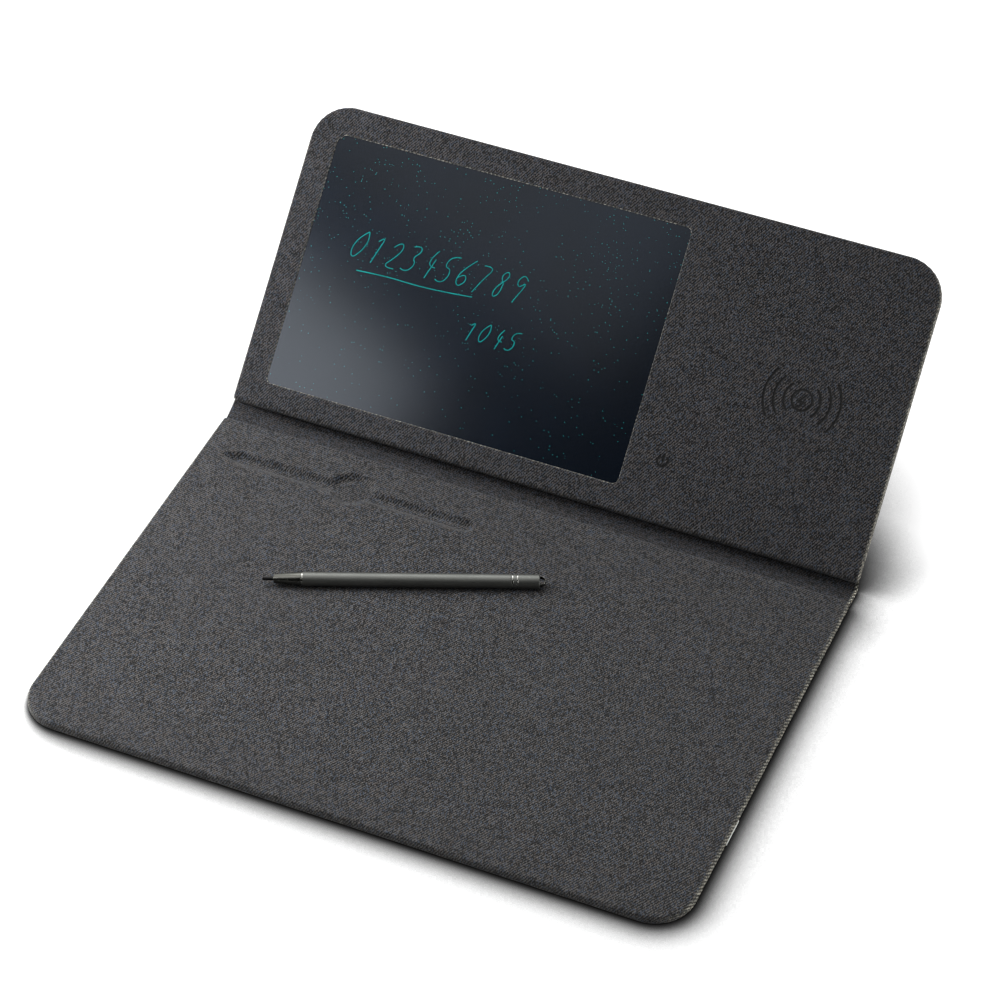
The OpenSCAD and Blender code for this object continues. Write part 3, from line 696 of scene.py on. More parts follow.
def to_marks(p):
    """Distance from p to the nearest pressed line, less half the line's width."""
    c, k = p - charge, p - key
    if c.length < 24:
        found = [abs(c.length - 4.9)] + [to_arc(c, r, span) for r, span in arcs]
        found += [to_line(c, a, b) + 0.08 for a, b in zip(bolt, bolt[1:])]
        return min(found) - half_line
    if k.length < 8:
        ring = abs(k.length - 2.6)
        if abs(math.degrees(math.atan2(k.x, k.y))) < 45:
            ring = min((k - Vector((s * 1.84, 1.84, 0))).length for s in (-1, 1))
        return min(ring, to_line(k, Vector((0, 0, 0)), Vector((0, 3.0, 0)))) - half_line
    return 9


# %% Panel cover
turn_r, core_z = 0.9, 0.5
half, spine_side, far_side = mat_w / 2 - turn_r, turn_r, panel_d - turn_r
hole_low = window_low - Vector((rim, rim, 0))
hole_high = window_high + Vector((rim, rim, 0))
near_key, near_charge = Vector((3.8, 3.8, 0)), Vector((19.6, 12.4, 0))
key_from, key_to = key - near_key, key + near_key
charge_from, charge_to = charge - near_charge, charge + near_charge
xs = rows((-half, hole_low.x, 1.0), (hole_low.x, hole_low.x + 5, 0.6),
          (hole_low.x + 5, hole_high.x - 5, 4), (hole_high.x - 5, hole_high.x, 0.6),
          (hole_high.x, key_from.x, 1.4), (key_from.x, key_to.x, 0.25),
          (key_to.x, charge_from.x, 2), (charge_from.x, charge_to.x, 0.25),
          (charge_to.x, 140, 1.5), (140, half, 1.0))
ys = rows((spine_side, spine_side + 0.4, 0.2), (spine_side + 0.4, hole_low.y, 1.2),
          (hole_low.y, hole_low.y + 5, 0.6), (hole_low.y + 5, key_from.y, 1.7),
          (key_from.y, key_to.y, 0.25), (key_to.y, charge_from.y, 3),
          (charge_from.y, charge_to.y, 0.25), (charge_to.y, 130, 3),
          (130, hole_high.y - 5, 1.2), (hole_high.y - 5, hole_high.y, 0.6),
          (hole_high.y, far_side, 0.9))
bm = grid_of(xs, ys)
inside = [f for f in bm.faces if hole_low.x < f.calc_center_median().x < hole_high.x
          and hole_low.y < f.calc_center_median().y < hole_high.y]
bmesh.ops.delete(bm, geom=inside, context="FACES")
panel_outline = (mat_w / 2, 0.0, panel_d, 1.0, corner_r)
round_corners(bm, panel_outline)


def window_offset(p):
    """From the centre of the window's nearest corner, or its side's line, to p."""
    q = p - window_mid
    return Vector((math.copysign(max(abs(q.x) - window_half.x + window_r, 0), q.x),
                   math.copysign(max(abs(q.y) - window_half.y + window_r, 0), q.y), 0))


pressed, cloth = bm.verts.layers.float["pressed"], bm.verts.layers.float_vector["cloth"]
for v in bm.verts:
    q = window_offset(v.co)
    reach = max(abs(q.x), abs(q.y))
    if q.x and q.y and reach < 9:
        v.co += q * (reach / q.length - 1) * (1 - ease(reach, window_r + rim, 9))
    gap = to_marks(v.co)
    # The pressed value marks the grooves, which the cloth paints almost black as painted shade.
    v[cloth], v[pressed] = v.co, 1 - ease(gap, 0.12, 0.36)
    v.co.z = panel_top - 0.22 * (1 - ease(gap, -0.15, 0.4))
border = border_of(bm)
window_edges = [e for e in border if window_offset((e.verts[0].co + e.verts[1].co) / 2).length < 8
                and hole_low.x - 1 < e.verts[0].co.x < hole_high.x + 1
                and hole_low.y - 1 < e.verts[0].co.y < hole_high.y + 1]
outer_edges = [e for e in border if e not in set(window_edges)]
wrap(bm, window_edges, lambda p: -window_offset(p).normalized(),
     [(0.12, -0.02, 0.5), (0.12, -0.07, 1.0), (0.1, -0.1, 1.0), (0.07, -0.12, 0.5),
      (0.04, -0.15, 0.1)])
edge = bm.verts.layers.float["edge"]
for v in bm.verts:
    v[edge] *= 0.75 if v.co.x < window_low.x + 1 or v.co.y > window_high.y - 1 else 0.5
fresh = set(bm.verts)
wrap(bm, outer_edges, outward(panel_outline), turned_edge(turn_r, panel_top - core_z, 1.0))
# Only the side walls keep their light opened yarns: partly opened cloth, partly a painted rim highlight.
for v in bm.verts:
    q = corner_offset(v.co, panel_outline)
    if v not in fresh:
        v[edge] *= rim_lit_and_opened_at(q)
        below = math.pi * (panel_top - v.co.z) / (panel_top - core_z)
        v.co.y -= 1.6 * math.sin(min(max(below, 0), math.pi)) * max(-q.y, 0) / max(q.length, 1e-6)
pleat(bm, panel_outline, lambda p: p.y > panel_d / 2, 0.12)
panel_cover = piece(bm, "panel_cover", in_panel, panel_cloth)
thicken(panel_cover, 0.25)
stands_for(panel_cover, "panel", "panel_fabric")

# %% [markdown]
# The charging port opens in the panel's far edge, so the cloth has a slot there. A block
# with round ends, cut out of the cover, is the plainest way to make it.

# %% Port slot in the cover
port_low, port_high = flat_box("usb_c_shell")
port_x = (port_low.x + port_high.x) / 2 / mm
port_z = (port_low.z + port_high.z) / 2 / mm
port_w, port_h = (port_high.x - port_low.x) / mm + 0.3, (port_high.z - port_low.z) / mm + 0.3
bm = bmesh.new()
bmesh.ops.create_cube(bm, size=1, matrix=Matrix.Translation((port_x, panel_d - 2, port_z))
                      @ Matrix.Diagonal((port_w, 9, port_h, 1)))
bmesh.ops.bevel(bm, geom=[e for e in bm.edges if abs(e.verts[0].co.y - e.verts[1].co.y) > 1],
                offset=port_h / 2 - 0.02, segments=10, profile=0.5, affect="EDGES", material=-1)
cutter = piece(bm, "port_cutter", in_panel, smooth=False)
cut = panel_cover.modifiers.new("port_slot", "BOOLEAN")
cut.operation, cut.object, cut.solver = "DIFFERENCE", cutter, "EXACT"
bpy.context.view_layer.objects.active = panel_cover
for step in ("cloth_thickness", "port_slot"):
    with bpy.context.temp_override(object=panel_cover, active_object=panel_cover):
        bpy.ops.object.modifier_apply(modifier=step)
bpy.data.objects.remove(cutter)
print("panel cover with its slot:", len(panel_cover.data.polygons), "faces")

# %% [markdown]
# ## The spine
# A strip of the same cloth, with a thin backing, joins the mat to the panel. It leaves the
# mat flat on the desk and turns up steeply to the panel's lower edge. Both layers must bend
# with the fold, so the rise has many rows, and the blend between the two bodies starts
# below it and ends above it.

# %% Spine cloth and backing
foot_y, foot_z = 119.803, 5.636
bend_y = 118.95
panel_normal = Vector((0, -math.sin(tilt), math.cos(tilt)))


def spine_path(height):
    """Points along the strip, height above its outer face, with a soft bend."""
    top = Vector((0, foot_y, foot_z)) + panel_normal * height
    mitre = math.tan(math.atan2(foot_z, foot_y - bend_y) / 2)
    bend = Vector((0, bend_y - height * mitre, height))
    start = Vector((0, mat_d / 2 + 0.15, height))
    soft = 1.6
    enter, leave = (bend + (end - bend).normalized() * soft for end in (start, top))
    points = [start.lerp(enter, k / 8) for k in range(8)]
    points += [enter.lerp(bend, k / 10).lerp(bend.lerp(leave, k / 10), k / 10) for k in range(11)]
    return points + [leave.lerp(top, k / 20) for k in range(1, 21)]


def spine_strip(name, height, thickness, material):
    """One layer of the strip, swept along its path and pulled straight towards its left end."""
    points = spine_path(height)
    length = [0.0]
    for a, b in zip(points, points[1:]):
        length.append(length[-1] + (b - a).length)
    half = mat_w / 2
    bm = grid_of(rows((-half + 0.02, -half + 4, 0.4), (-half + 4, half - 4, 5),
                      (half - 4, half - 0.02, 0.4)), [float(k) for k in range(len(points))])
    cloth, edge = bm.verts.layers.float_vector["cloth"], bm.verts.layers.float["edge"]
    for v in bm.verts:
        k = round(v.co.y)
        v[cloth] = Vector((v.co.x, length[k] + mat_d, 0))
        straight = points[0].lerp(points[-1], length[k] / length[-1])
        here = points[k].lerp(straight, 0.9 * ease(-v.co.x, 118, half))
        # Only the right end gets light opened yarns: partly opened cloth, partly a painted rim highlight from the
        # right.
        v[edge] = ease(v.co.x, half - 1.6, half - 0.8)
        v.co = Vector((v.co.x, here.y, here.z))
    bmesh.ops.solidify(bm, geom=bm.faces[:], thickness=thickness)
    bmesh.ops.recalc_face_normals(bm, faces=bm.faces)
    return piece(bm, name, on_mat, material, sharp=50), length[-1]


spine, spine_length = spine_strip("spine_cloth", 1.0, 0.48, spine_cloth)
print(f"the strip is {spine_length:.1f} mm long from mat to panel")

# %% [markdown]
# ## Plain finishes
# The pieces that come ready made need a finish each: backing suede, grey board, foam,
# moulded plastic, film, circuit board, chips, metals and rubber. Each takes its grain from
# the shared groups, at a size that suits the stuff.

# %% Board, foam, suede and moulded plastic
def grained(name, colour, dark, roughness, size, depth, amount=0.5, **plain):
    """A material whose colour and gloss vary with its grain and with handling."""
    material, tree, shader = finish(name, colour, roughness, **plain)
    place = place_mm(tree)
    fine = use(tree, grain, Place=place, Size=size)
    grainy = mixed(tree, product(tree, fine["Mask"], amount), tone(colour), tone(dark))
    soft, worn = soiled(tree, place, size * 40, 0.18, grainy, tone(dark))
    wire(tree, shader, Base_Color=worn,
         Roughness=spread(tree, soft, 0, 1, roughness, max(roughness - 0.1, 0.1)))
    bump(tree, shader, fine["Height"], depth)
    return material


suede = grained("backing_suede", "3a3835", "1c1b1a", 0.95, 0.6, 0.08, 0.8, Sheen_Weight=0.25)
lining = grained("panel_suede", "323234", "151516", 0.95, 0.55, 0.08, 0.8, Sheen_Weight=0.2)
backing_cloth = grained("spine_backing_cloth", "2b2b2d", "1a1a1b", 0.95, 0.4, 0.05)
grey_board = grained("grey_board", "8b7f6c", "6b614f", 0.95, 0.8, 0.04, 0.6)
foam = grained("soft_foam", "2a2b2e", "0f0f10", 0.98, 0.5, 0.2, 0.8)
core_board = grained("core_board", "1f2022", "131314", 0.9, 0.6, 0.05)
plastic = grained("moulded_plastic", "1b1c1e", "111213", 0.5, 0.18, 0.015)
rubber = grained("foot_rubber", "1a1a1b", "101011", 0.85, 0.25, 0.03)
chip_plastic = grained("chip_plastic", "161617", "0c0c0d", 0.6, 0.12, 0.01)
ferrite = grained("ferrite_tile", "2d2e30", "1a1b1c", 0.7, 0.5, 0.02)
print(len(bpy.data.materials), "materials so far")

# %% [markdown]
# Metals keep their colour in the reflection, so a metal's grain goes into its roughness and
# bump and only a little into its colour. Copper wire in a flat coil shows as fine rings,
# which come from the distance to the coil's own middle.

# %% Metals, film and circuit board
def metal(name, colour, dark, roughness, pull, depth=0.004):
    """Brushed or polished metal, with its lines pulled long."""
    material, tree, shader = finish(name, colour, roughness, Metallic=1.0)
    place = place_mm(tree)
    lines = use(tree, brushed, Place=place, Pull=pull)
    soft = use(tree, handled, Place=place, Size=12.0)["Mask"]
    drawn = spread(tree, lines["Mask"], 0, 1, roughness - 0.04, roughness + 0.06)
    wire(tree, shader, Roughness=calc(tree, "ADD", drawn, product(tree, soft, 0.06)),
         Base_Color=mixed(tree, product(tree, lines["Mask"], 0.35), tone(colour), tone(dark)))
    if depth:
        bump(tree, shader, lines["Height"], depth)
    return material


steel = metal("bright_steel", "c4c6c9", "9a9da1", 0.28, (1, 6, 6))
brass = metal("contact_brass", "c9a24b", "8f6f2c", 0.3, (6, 1, 6))
lead_copper = metal("lead_copper", "b06a35", "7c4520", 0.32, (6, 1, 6))

coil_copper, tree, shader = finish("coil_copper", "b06a35", 0.35, Metallic=1.0)
wire_pitch = 0.75
centre = tipped @ ((coil_low + coil_high) / 2)
flat_place = add(tree, "Mapping", {0: add(tree, "TexCoord").outputs["Object"],
                                   1: -(Matrix.Rotation(-tilt, 3, "X") @ centre),
                                   2: (-tilt, 0, 0)}, vector_type="POINT").outputs[0]
parts = axes(tree, flat_place)
away = calc(tree, "SQRT", calc(tree, "ADD", *(product(tree, parts[k], parts[k]) for k in "XY")))
wires = calc(tree, "SINE", product(tree, away, 2 * math.pi / (wire_pitch * mm)))
wire(tree, shader, Roughness=spread(tree, wires, -1, 1, 0.6, 0.28),
     Base_Color=mixed(tree, spread(tree, wires, -1, 0.2), tone("4a2410"), tone("b9733b")))
bump(tree, shader, wires, 0.2)

film = grained("flex_film", "b4752a", "8a5417", 0.35, 0.5, 0.01, Coat_Weight=0.4)

circuit, tree, shader = finish("circuit_board", "1d5b3a", 0.4, Coat_Weight=0.3)
place = place_mm(tree)
tracks = add(tree, "TexBrick", {"Vector": place, "Scale": 0.45, "Mortar Size": 0.06,
                                "Color1": tone("1d5b3a"), "Color2": tone("1a5335"),
                                "Mortar": tone("2f7a50")}).outputs
holes = add(tree, "TexVoronoi", {"Vector": place, "Scale": 0.4}, feature="F1").outputs["Distance"]
dots = calc(tree, "LESS_THAN", holes, 0.16)
wire(tree, shader, Base_Color=mixed(tree, dots, tracks["Color"], tone("b9a050")),
     Roughness=spread(tree, dots, 0, 1, 0.45, 0.3))
bump(tree, shader, tracks["Fac"], 0.02)
print(len(bpy.data.materials), "materials so far")

# %% [markdown]
# ## The writing screen
# The screen is a sheet of liquid crystal film under a satin plastic face. It looks navy
# black, with a faint blue grey bloom where it reflects the room, and tiny green blue flecks
# where the crystal has been disturbed. Flecks are the cores of a Voronoi pattern, kept only
# where a slow noise allows.

# %% Screen material
screen_glass, tree, shader = finish("screen_film", "080d16", 0.15, Specular_IOR_Level=0.25,
                                    Specular_Tint=(0.84, 0.91, 1.0, 1.0))
place = place_mm(tree)
flecks = add(tree, "TexVoronoi", {"Vector": place, "Scale": 0.8, "Randomness": 1.0}).outputs
where = use(tree, handled, Place=place, Size=30.0)["Mask"]
upper = spread(tree, axes(tree, place)["Z"], 20, 105, 0.12, 1.0)
chance = calc(tree, "MULTIPLY_ADD", where, product(tree, upper, 0.75), 0.06)
kept = calc(tree, "LESS_THAN", axes(tree, flecks["Color"])["X"], chance)
fleck = product(tree, calc(tree, "LESS_THAN", flecks["Distance"], 0.13), kept)
cloud = use(tree, handled, Place=place, Size=70.0)["Mask"]
deep = mixed(tree, cloud, tone("02050b"), tone("050b14"))
fine = use(tree, grain, Place=place, Size=0.12)
wire(tree, shader, Roughness=spread(tree, fine["Mask"], 0, 1, 0.11, 0.15),
     Base_Color=mixed(tree, product(tree, fleck, 0.8), deep, tone("1f8a8e")))
bump(tree, shader, fine["Height"], 0.002)
print("screen nodes:", len(tree.nodes))

# %% Dress the ready made pieces
finishes = {
    "mat_foam": foam, "mat_board": grey_board, "mat_base": suede, "spine_lining": backing_cloth,
    "panel_face_board": core_board, "panel_core": core_board, "panel_lining": lining,
    "writing_screen": screen_glass, "screen_backing": core_board, "screen_flex": film,
    "driver_board": circuit, "driver_chips": chip_plastic, "erase_switch": steel,
    "erase_key": plastic, "battery_tray": plastic, "coin_cell": steel, "cell_contacts": brass,
    "battery_door": plastic, "door_screw": steel, "charging_coil": coil_copper,
    "ferrite_shield": ferrite, "coil_leads": lead_copper, "charger_board": circuit,
    "charger_chips": chip_plastic, "usb_c_shell": steel, "usb_c_tongue": chip_plastic,
    "stand_panel_leaf": lining, "stand_flap_leaf": lining, "stand_board": grey_board,
    "stand_foot": rubber, "edge_tag": suede, "stand_cloth": lining,
    "mat_fabric": mat_cloth, "panel_fabric": panel_cloth, "spine_fabric": spine_cloth,
    "stylus_barrel": steel, "stylus_nose": steel, "stylus_nib": plastic,
    "stylus_nose_ring": steel, "stylus_twin_rings": steel, "stylus_end_cap": steel,
}
for name, material in finishes.items():
    slots = frame["nodes"][name].data.materials
    slots.clear()
    slots.append(material)
print(len(finishes), "of", len(frame["nodes"]), "nodes dressed")

# %% Spine in place
backing, _ = spine_strip("spine_backing", 0.5, 0.46, backing_cloth)
for strip, node, slot in ((spine, "spine_fabric", "cover_fabric"),
                          (backing, "spine_lining", "lining")):
    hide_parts(node)
    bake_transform(strip, "mat", "panel", (0, 0.1182, 0.0005), (0, 0.1198, 0.0055))
print("spine bends over", round(spine_length, 1), "mm")

# %% [markdown]
# ## The pen
# The pen is turned metal, so each of its parts is one profile spun round the pen's axis. The
# body is satin gun metal, with a cone at the tip, a polished double ring at the joint, two
# polished rings in the end cap and a small loop.

# %% Turned parts
pen_tip, pen_turn = Vector((-92.1, 10.4, 7.65)), math.radians(22.4)
pen_place = (Matrix.Translation(pen_tip * mm) @ Matrix.Rotation(pen_turn, 4, "Z")
             @ Matrix.Scale(mm, 4))


def turned(name, profiles, material, node, steps=96):
    """Spins profiles of (place along the pen, radius) points into a closed part."""
    bm = bmesh.new()
    for profile in profiles:
        points = [bm.verts.new((x, 0, r)) for x, r in profile]
        edges = [bm.edges.new(pair) for pair in zip(points, points[1:])]
        bmesh.ops.spin(bm, geom=points + edges, axis=(1, 0, 0), cent=(0, 0, 0),
                       angle=2 * math.pi, steps=steps, use_merge=True)
    bmesh.ops.remove_doubles(bm, verts=bm.verts, dist=0.0005)
    bmesh.ops.recalc_face_normals(bm, faces=bm.faces)
    stands_for(piece(bm, name, pen_place, material, sharp=35), "stylus", node)


def along(start, *points):
    """Profile points given from start."""
    return [(start + x, r) for x, r in points]


gunmetal = metal("gunmetal_satin", "656663", "474845", 0.47, (3.4, 3.4, 3.4), 0.01)
bright_gunmetal = metal("gunmetal_polished", "51514d", "494946", 0.2, (0.15, 1, 1), 0)
polished = metal("polished_ring", "8f8f8a", "82827e", 0.16, (2, 1, 1), 0)
nib_plastic = grained("nib_plastic", "030303", "010101", 0.5, 0.1, 0.004, Specular_IOR_Level=0.2)
nib_r, nib_end, nose_end = 0.95, 4.6, 17.4
barrel_at, cap_at, body_end = 18.2, 114.0, 127.4
pen_r, bore_r, shank_r = 3.35, 2.4, 2.35
quarter_turn = [a * math.pi / 16 for a in range(9)]
turned("pen_nib", [[(nib_r - nib_r * math.cos(a) - 0.7, nib_r * math.sin(a)) for a in quarter_turn]
                   + [(12.6, nib_r), (12.6, 0)]], nib_plastic, "stylus_nib", 48)
turned("pen_nose",
       [along(nib_end, (9, 0), (9, 1.0), (0.15, 1.0), (0, 1.15), (0, 1.9), (0.12, 2.1), (0.4, 2.22))
        + along(nose_end, (-0.6, 3.25), (-0.12, 3.33), (0, 3.24), (0, shank_r), (6, shank_r),
                (6, 0))],
       bright_gunmetal, "stylus_nose")
low_r, mid_r = pen_r - 0.3, pen_r - 0.25
turned("pen_joint_ring",
       [along(nose_end, (0, bore_r), (0, low_r), (0.14, low_r), (0.16, pen_r - 0.03),
              (0.3, pen_r - 0.03), (0.32, low_r), (0.46, low_r), (0.48, pen_r),
              (0.52, pen_r + 0.02), (0.68, pen_r), (0.7, mid_r))
        + [(barrel_at, mid_r), (barrel_at, bore_r), (nose_end, bore_r)]],
       polished, "stylus_nose_ring")
turned("pen_barrel",
       [along(barrel_at, (0, bore_r), (0, pen_r - 0.08), (0.08, pen_r), (30, pen_r))
        + along(cap_at, (-30, pen_r), (-0.08, pen_r), (0, pen_r - 0.08), (0, bore_r))
        + [(barrel_at, bore_r)]], gunmetal, "stylus_barrel")
ring_w, groove_r, rings = 0.7, 2.95, [cap_at + 0.5, cap_at + 2.75]
cap = along(cap_at, (-6, 0), (-6, shank_r), (0, shank_r), (0, pen_r - 0.08), (0.08, pen_r))
for at in rings:
    cap += along(at, (-0.05, pen_r), (0, pen_r - 0.05), (0, groove_r))
    cap += along(at + ring_w, (0, groove_r), (0, pen_r - 0.05), (0.05, pen_r))
for a in range(7):
    round_end = a * math.pi / 12
    cap.append((body_end - 0.5 + 0.5 * math.sin(round_end),
                pen_r - 0.5 + 0.5 * math.cos(round_end)))
turned("pen_cap", [cap + [(body_end, 0)]], gunmetal, "stylus_end_cap")

# %% Rings and loop of the cap
in_groove = groove_r + 0.01
turned("pen_twin_rings",
       [along(at, (0.02, in_groove), (0.02, pen_r - 0.06), (0.1, pen_r), (ring_w - 0.1, pen_r),
              (ring_w - 0.02, pen_r - 0.06), (ring_w - 0.02, in_groove), (0.02, in_groove))
        for at in rings], polished, "stylus_twin_rings")

bm = bmesh.new()
bar_r, bar_half, loop_r = 0.32, 0.95, 2.6
ring = bmesh.ops.create_circle(bm, cap_ends=False, segments=16, radius=bar_r)["verts"]
for v in ring:
    v.co = Vector((0, v.co.x - loop_r, v.co.y * bar_half / bar_r))
bmesh.ops.spin(bm, geom=ring + bm.edges[:], axis=(0, 0, 1), cent=(0, 0, 0), angle=math.pi, steps=28)
bmesh.ops.holes_fill(bm, edges=border_of(bm), sides=20)
bmesh.ops.recalc_face_normals(bm, faces=bm.faces)
bmesh.ops.translate(bm, verts=bm.verts, vec=(body_end - 0.02, 0, 0))
stands_for(piece(bm, "pen_loop", pen_place, bright_gunmetal), "stylus", None)

# %% [markdown]
# ## Stand cover and tag
# The stand is board wrapped in the panel's lining cloth, so its edges are round and soft. It
# is drawn flat, as it lies when folded, wrapped round its edges, closed with its own mirror
# image and then turned open about its crease.

# %% Stand cover
crease = Vector(joints["stand_fold"]["pos_m"])
stand_w, stand_len, stand_y, stand_angle = 88.0, 79.1, 92.0, math.radians(73)
flap_low, flap_top, stand_r, crease_z = 0.16, 1.96, 5.0, 2.13
cut_at, edge_r = Vector((0, stand_y, crease_z)), (flap_top - flap_low) / 2
in_stand = (in_panel @ Matrix.Translation(cut_at) @ Matrix.Rotation(stand_angle, 4, "X")
            @ Matrix.Translation(-cut_at))
half, free_end = stand_w / 2, stand_y - stand_len
stand_outline = (half, free_end, stand_y + 3, stand_r, 0.92)
bm = grid_of(rows((-half + edge_r, -half + 6, 0.7), (-half + 6, half - 6, 4),
                  (half - 6, half - edge_r, 0.7)),
             rows((free_end + edge_r, free_end + 6, 0.7), (free_end + 6, stand_y + 2.08, 3)))
round_corners(bm, stand_outline)
for v in bm.verts:
    v.co.z = flap_top
turns = [math.pi / 2 * k / 5 for k in range(6)]
wrap(bm, border_of(bm), outward(stand_outline),
     [(edge_r * (math.sin(b) - math.sin(a)), edge_r * (math.cos(b) - math.cos(a)), 0.3)
      for a, b in zip(turns, turns[1:])])
other = bmesh.ops.duplicate(bm, geom=bm.verts[:] + bm.edges[:] + bm.faces[:])["geom"]
flipped = [g for g in other if isinstance(g, bmesh.types.BMVert)]
bmesh.ops.scale(bm, verts=flipped, vec=(1, 1, -1),
                space=Matrix.Translation((0, 0, -(flap_low + flap_top) / 2)))
bmesh.ops.remove_doubles(bm, verts=bm.verts, dist=0.001)
bmesh.ops.recalc_face_normals(bm, faces=bm.faces)
across = Matrix.Rotation(-stand_angle, 3, "X") @ Vector((0, 1, 0))
bmesh.ops.bisect_plane(bm, geom=bm.verts[:] + bm.edges[:] + bm.faces[:], plane_co=cut_at,
                       plane_no=across, clear_outer=True)
bmesh.ops.holes_fill(bm, edges=border_of(bm), sides=0)
stands_for(piece(bm, "stand_cover", in_stand, lining), "stand", "stand_cloth")
print("stand opens by", round(math.degrees(stand_angle)), "degrees about",
      [round(c, 4) for c in crease])

# %% Edge tag
tag_low, tag_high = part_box("edge_tag")
rib_pitch, tag_steps = 0.45, 12
ribbon, tree, shader = finish("tag_ribbon", "dfe4de", 0.8, Sheen_Weight=0.1)
place = place_mm(tree)
ribs = calc(tree, "SINE", product(tree, axes(tree, place)["Y"], 2 * math.pi / rib_pitch))
ribbed = mixed(tree, spread(tree, ribs, -1, 1, 0, 0.4), tone("fbfdfa"), tone("e9ece8"))
wire(tree, shader, Base_Color=soiled(tree, place, 3.0, 0.3, ribbed, tone("dde0da"))[1])
bump(tree, shader, ribs, 0.05)
bm = bmesh.new()
out_x, top_z, inner_x = tag_high.x + 0.12 * mm, 1.0 * mm, tag_high.x - 0.12 * mm
near_y, far_y = tag_low.y + 1 * mm, tag_high.y + 3 * mm
outline = [(tag_low.x, tag_low.z), (out_x - 0.14 * mm, tag_low.z),
           (out_x - 0.04 * mm, tag_low.z + 0.05 * mm), (out_x, tag_low.z + 0.15 * mm),
           (out_x, top_z - 0.1 * mm), (out_x - 0.05 * mm, top_z),
           (inner_x + 0.04 * mm, top_z), (inner_x, top_z - 0.06 * mm),
           (inner_x, tag_high.z + 0.06 * mm), (inner_x - 0.06 * mm, tag_high.z),
           (tag_low.x, tag_high.z)]
side = bm.faces.new([bm.verts.new((x, near_y, z)) for x, z in outline])
for k in range(tag_steps):
    made = bmesh.ops.extrude_face_region(bm, geom=[side])["geom"]
    bmesh.ops.delete(bm, geom=[side], context="FACES_ONLY")
    side = next(g for g in made if isinstance(g, bmesh.types.BMFace))
    bmesh.ops.translate(bm, verts=side.verts, vec=(0, (far_y - near_y) / tag_steps, 0))
bmesh.ops.holes_fill(bm, edges=border_of(bm), sides=0)
bmesh.ops.recalc_face_normals(bm, faces=bm.faces)
stands_for(piece(bm, "folded_tag", Matrix.Identity(4), ribbon), "mat", "edge_tag")

# %% [markdown]
# ## Writing on the screen
# The screen shows numbers written with the pen in thin green blue lines. They are drawn as
# open curves through a few points a digit, with a slight slope and an uneven baseline, and
# given a narrow flat body that lies on the film.

# %% Written numbers
digits = {
    "0": [[(0.5, 1), (0.15, 0.75), (0.1, 0.3), (0.4, 0), (0.7, 0.3), (0.75, 0.75), (0.5, 1)]],
    "1": [[(0.25, 0.75), (0.5, 1), (0.5, 0.5), (0.5, 0)]],
    "2": [[(0.15, 0.75), (0.4, 1), (0.7, 0.8), (0.55, 0.45), (0.1, 0.02), (0.8, 0.05)]],
    "3": [[(0.15, 0.9), (0.5, 1), (0.7, 0.78), (0.4, 0.55), (0.75, 0.35), (0.5, 0), (0.1, 0.1)]],
    "4": [[(0.5, 1), (0.1, 0.4), (0.8, 0.42)], [(0.6, 0.7), (0.58, 0)]],
    "5": [[(0.75, 1), (0.25, 0.98), (0.2, 0.58), (0.6, 0.55), (0.7, 0.2), (0.4, 0), (0.1, 0.1)]],
    "6": [[(0.65, 1), (0.2, 0.6), (0.15, 0.2), (0.45, 0), (0.72, 0.25), (0.45, 0.5), (0.18, 0.3)]],
    "7": [[(0.1, 0.95), (0.75, 1), (0.45, 0.5), (0.3, 0)]],
    "8": [[(0.55, 0.55), (0.2, 0.75), (0.45, 1), (0.7, 0.78), (0.25, 0.35), (0.4, 0), (0.7, 0.2),
           (0.55, 0.55)]],
    "9": [[(0.7, 0.8), (0.4, 1), (0.15, 0.75), (0.4, 0.5), (0.7, 0.75), (0.65, 0.4), (0.55, 0)]],
}
ink, tree, shader = finish("crystal_lines", "006b6a", 0.5, Specular_IOR_Level=0.05)
fade = use(tree, handled, Place=place_mm(tree), Size=6.0)["Mask"]
wire(tree, shader, Base_Color=mixed(tree, fade, tone("007371"), tone("005f5f")))
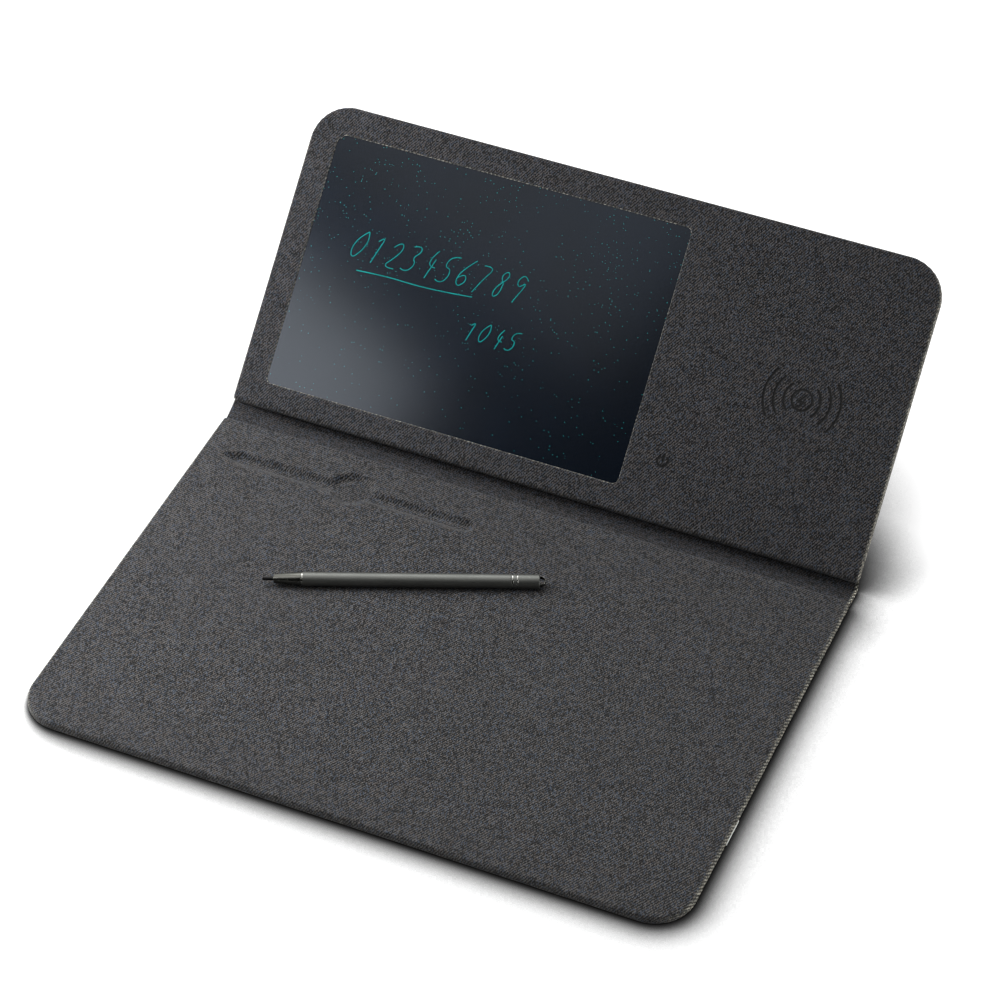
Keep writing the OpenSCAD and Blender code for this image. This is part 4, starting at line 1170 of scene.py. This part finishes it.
line_r, film_depth, lift_off, flatness = 0.24, 0.5, 0.02, 0.08


def stroke(curve, points):
    """Adds one open line through points."""
    line = curve.splines.new("NURBS")
    line.points.add(len(points) - 1)
    line.use_endpoint_u, line.order_u = True, 3
    for point, (x, y) in zip(line.points, points):
        point.co = (x, y, 0, 1)


def pen_curve(name):
    """An empty curve with the written line's width."""
    curve = bpy.data.curves.new(name, "CURVE")
    curve.dimensions, curve.bevel_depth = "3D", line_r
    return curve


def written(name, text, start, height, advance, slope):
    """A row of digits in a slanting hand, on the screen."""
    curve = pen_curve(name)
    curve.bevel_resolution, curve.resolution_u = 1, 8
    pen_x = start[0]
    for place, sign in enumerate(text):
        lift = 0.4 * math.sin(place * 2.3)
        for points in digits[sign]:
            stroke(curve, [(pen_x + x * height * 0.62 + y * height * slope,
                            start[1] + lift + y * height) for x, y in points])
        pen_x += advance
    return curve


def laid_on_screen(curve):
    """Makes the curve a flat mesh on the screen's face."""
    holder = bpy.data.objects.new(curve.name + "_line", curve)
    bpy.context.scene.collection.objects.link(holder)
    bpy.context.view_layer.update()
    drawn = holder.evaluated_get(bpy.context.evaluated_depsgraph_get())
    mesh = bpy.data.meshes.new_from_object(drawn)
    bpy.data.objects.remove(holder)
    bm = bmesh.new()
    bm.from_mesh(mesh)
    for v in bm.verts:
        v.co.z = panel_top - film_depth + lift_off + v.co.z * flatness
    stands_for(piece(bm, curve.name, in_panel, ink), "panel", None)


laid_on_screen(written("written_numbers", "0123456789", (-126, 80), 14.5, 9.2, 0.32))
laid_on_screen(written("written_time", "1045", (-58, 57), 10, 7.2, 0.3))
underline = pen_curve("written_underline")
stroke(underline, [(-118 + k * 15, 75 + 0.6 * math.sin(k * 1.9) + k * 0.5) for k in range(5)])
laid_on_screen(underline)

# %% Finish
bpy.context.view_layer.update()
shown = [o for o in bpy.context.scene.objects if o.type == "MESH" and not o.hide_render]
triangles = sum(len(p.vertices) - 2 for o in shown for p in o.data.polygons)
print("about", triangles, "triangles")
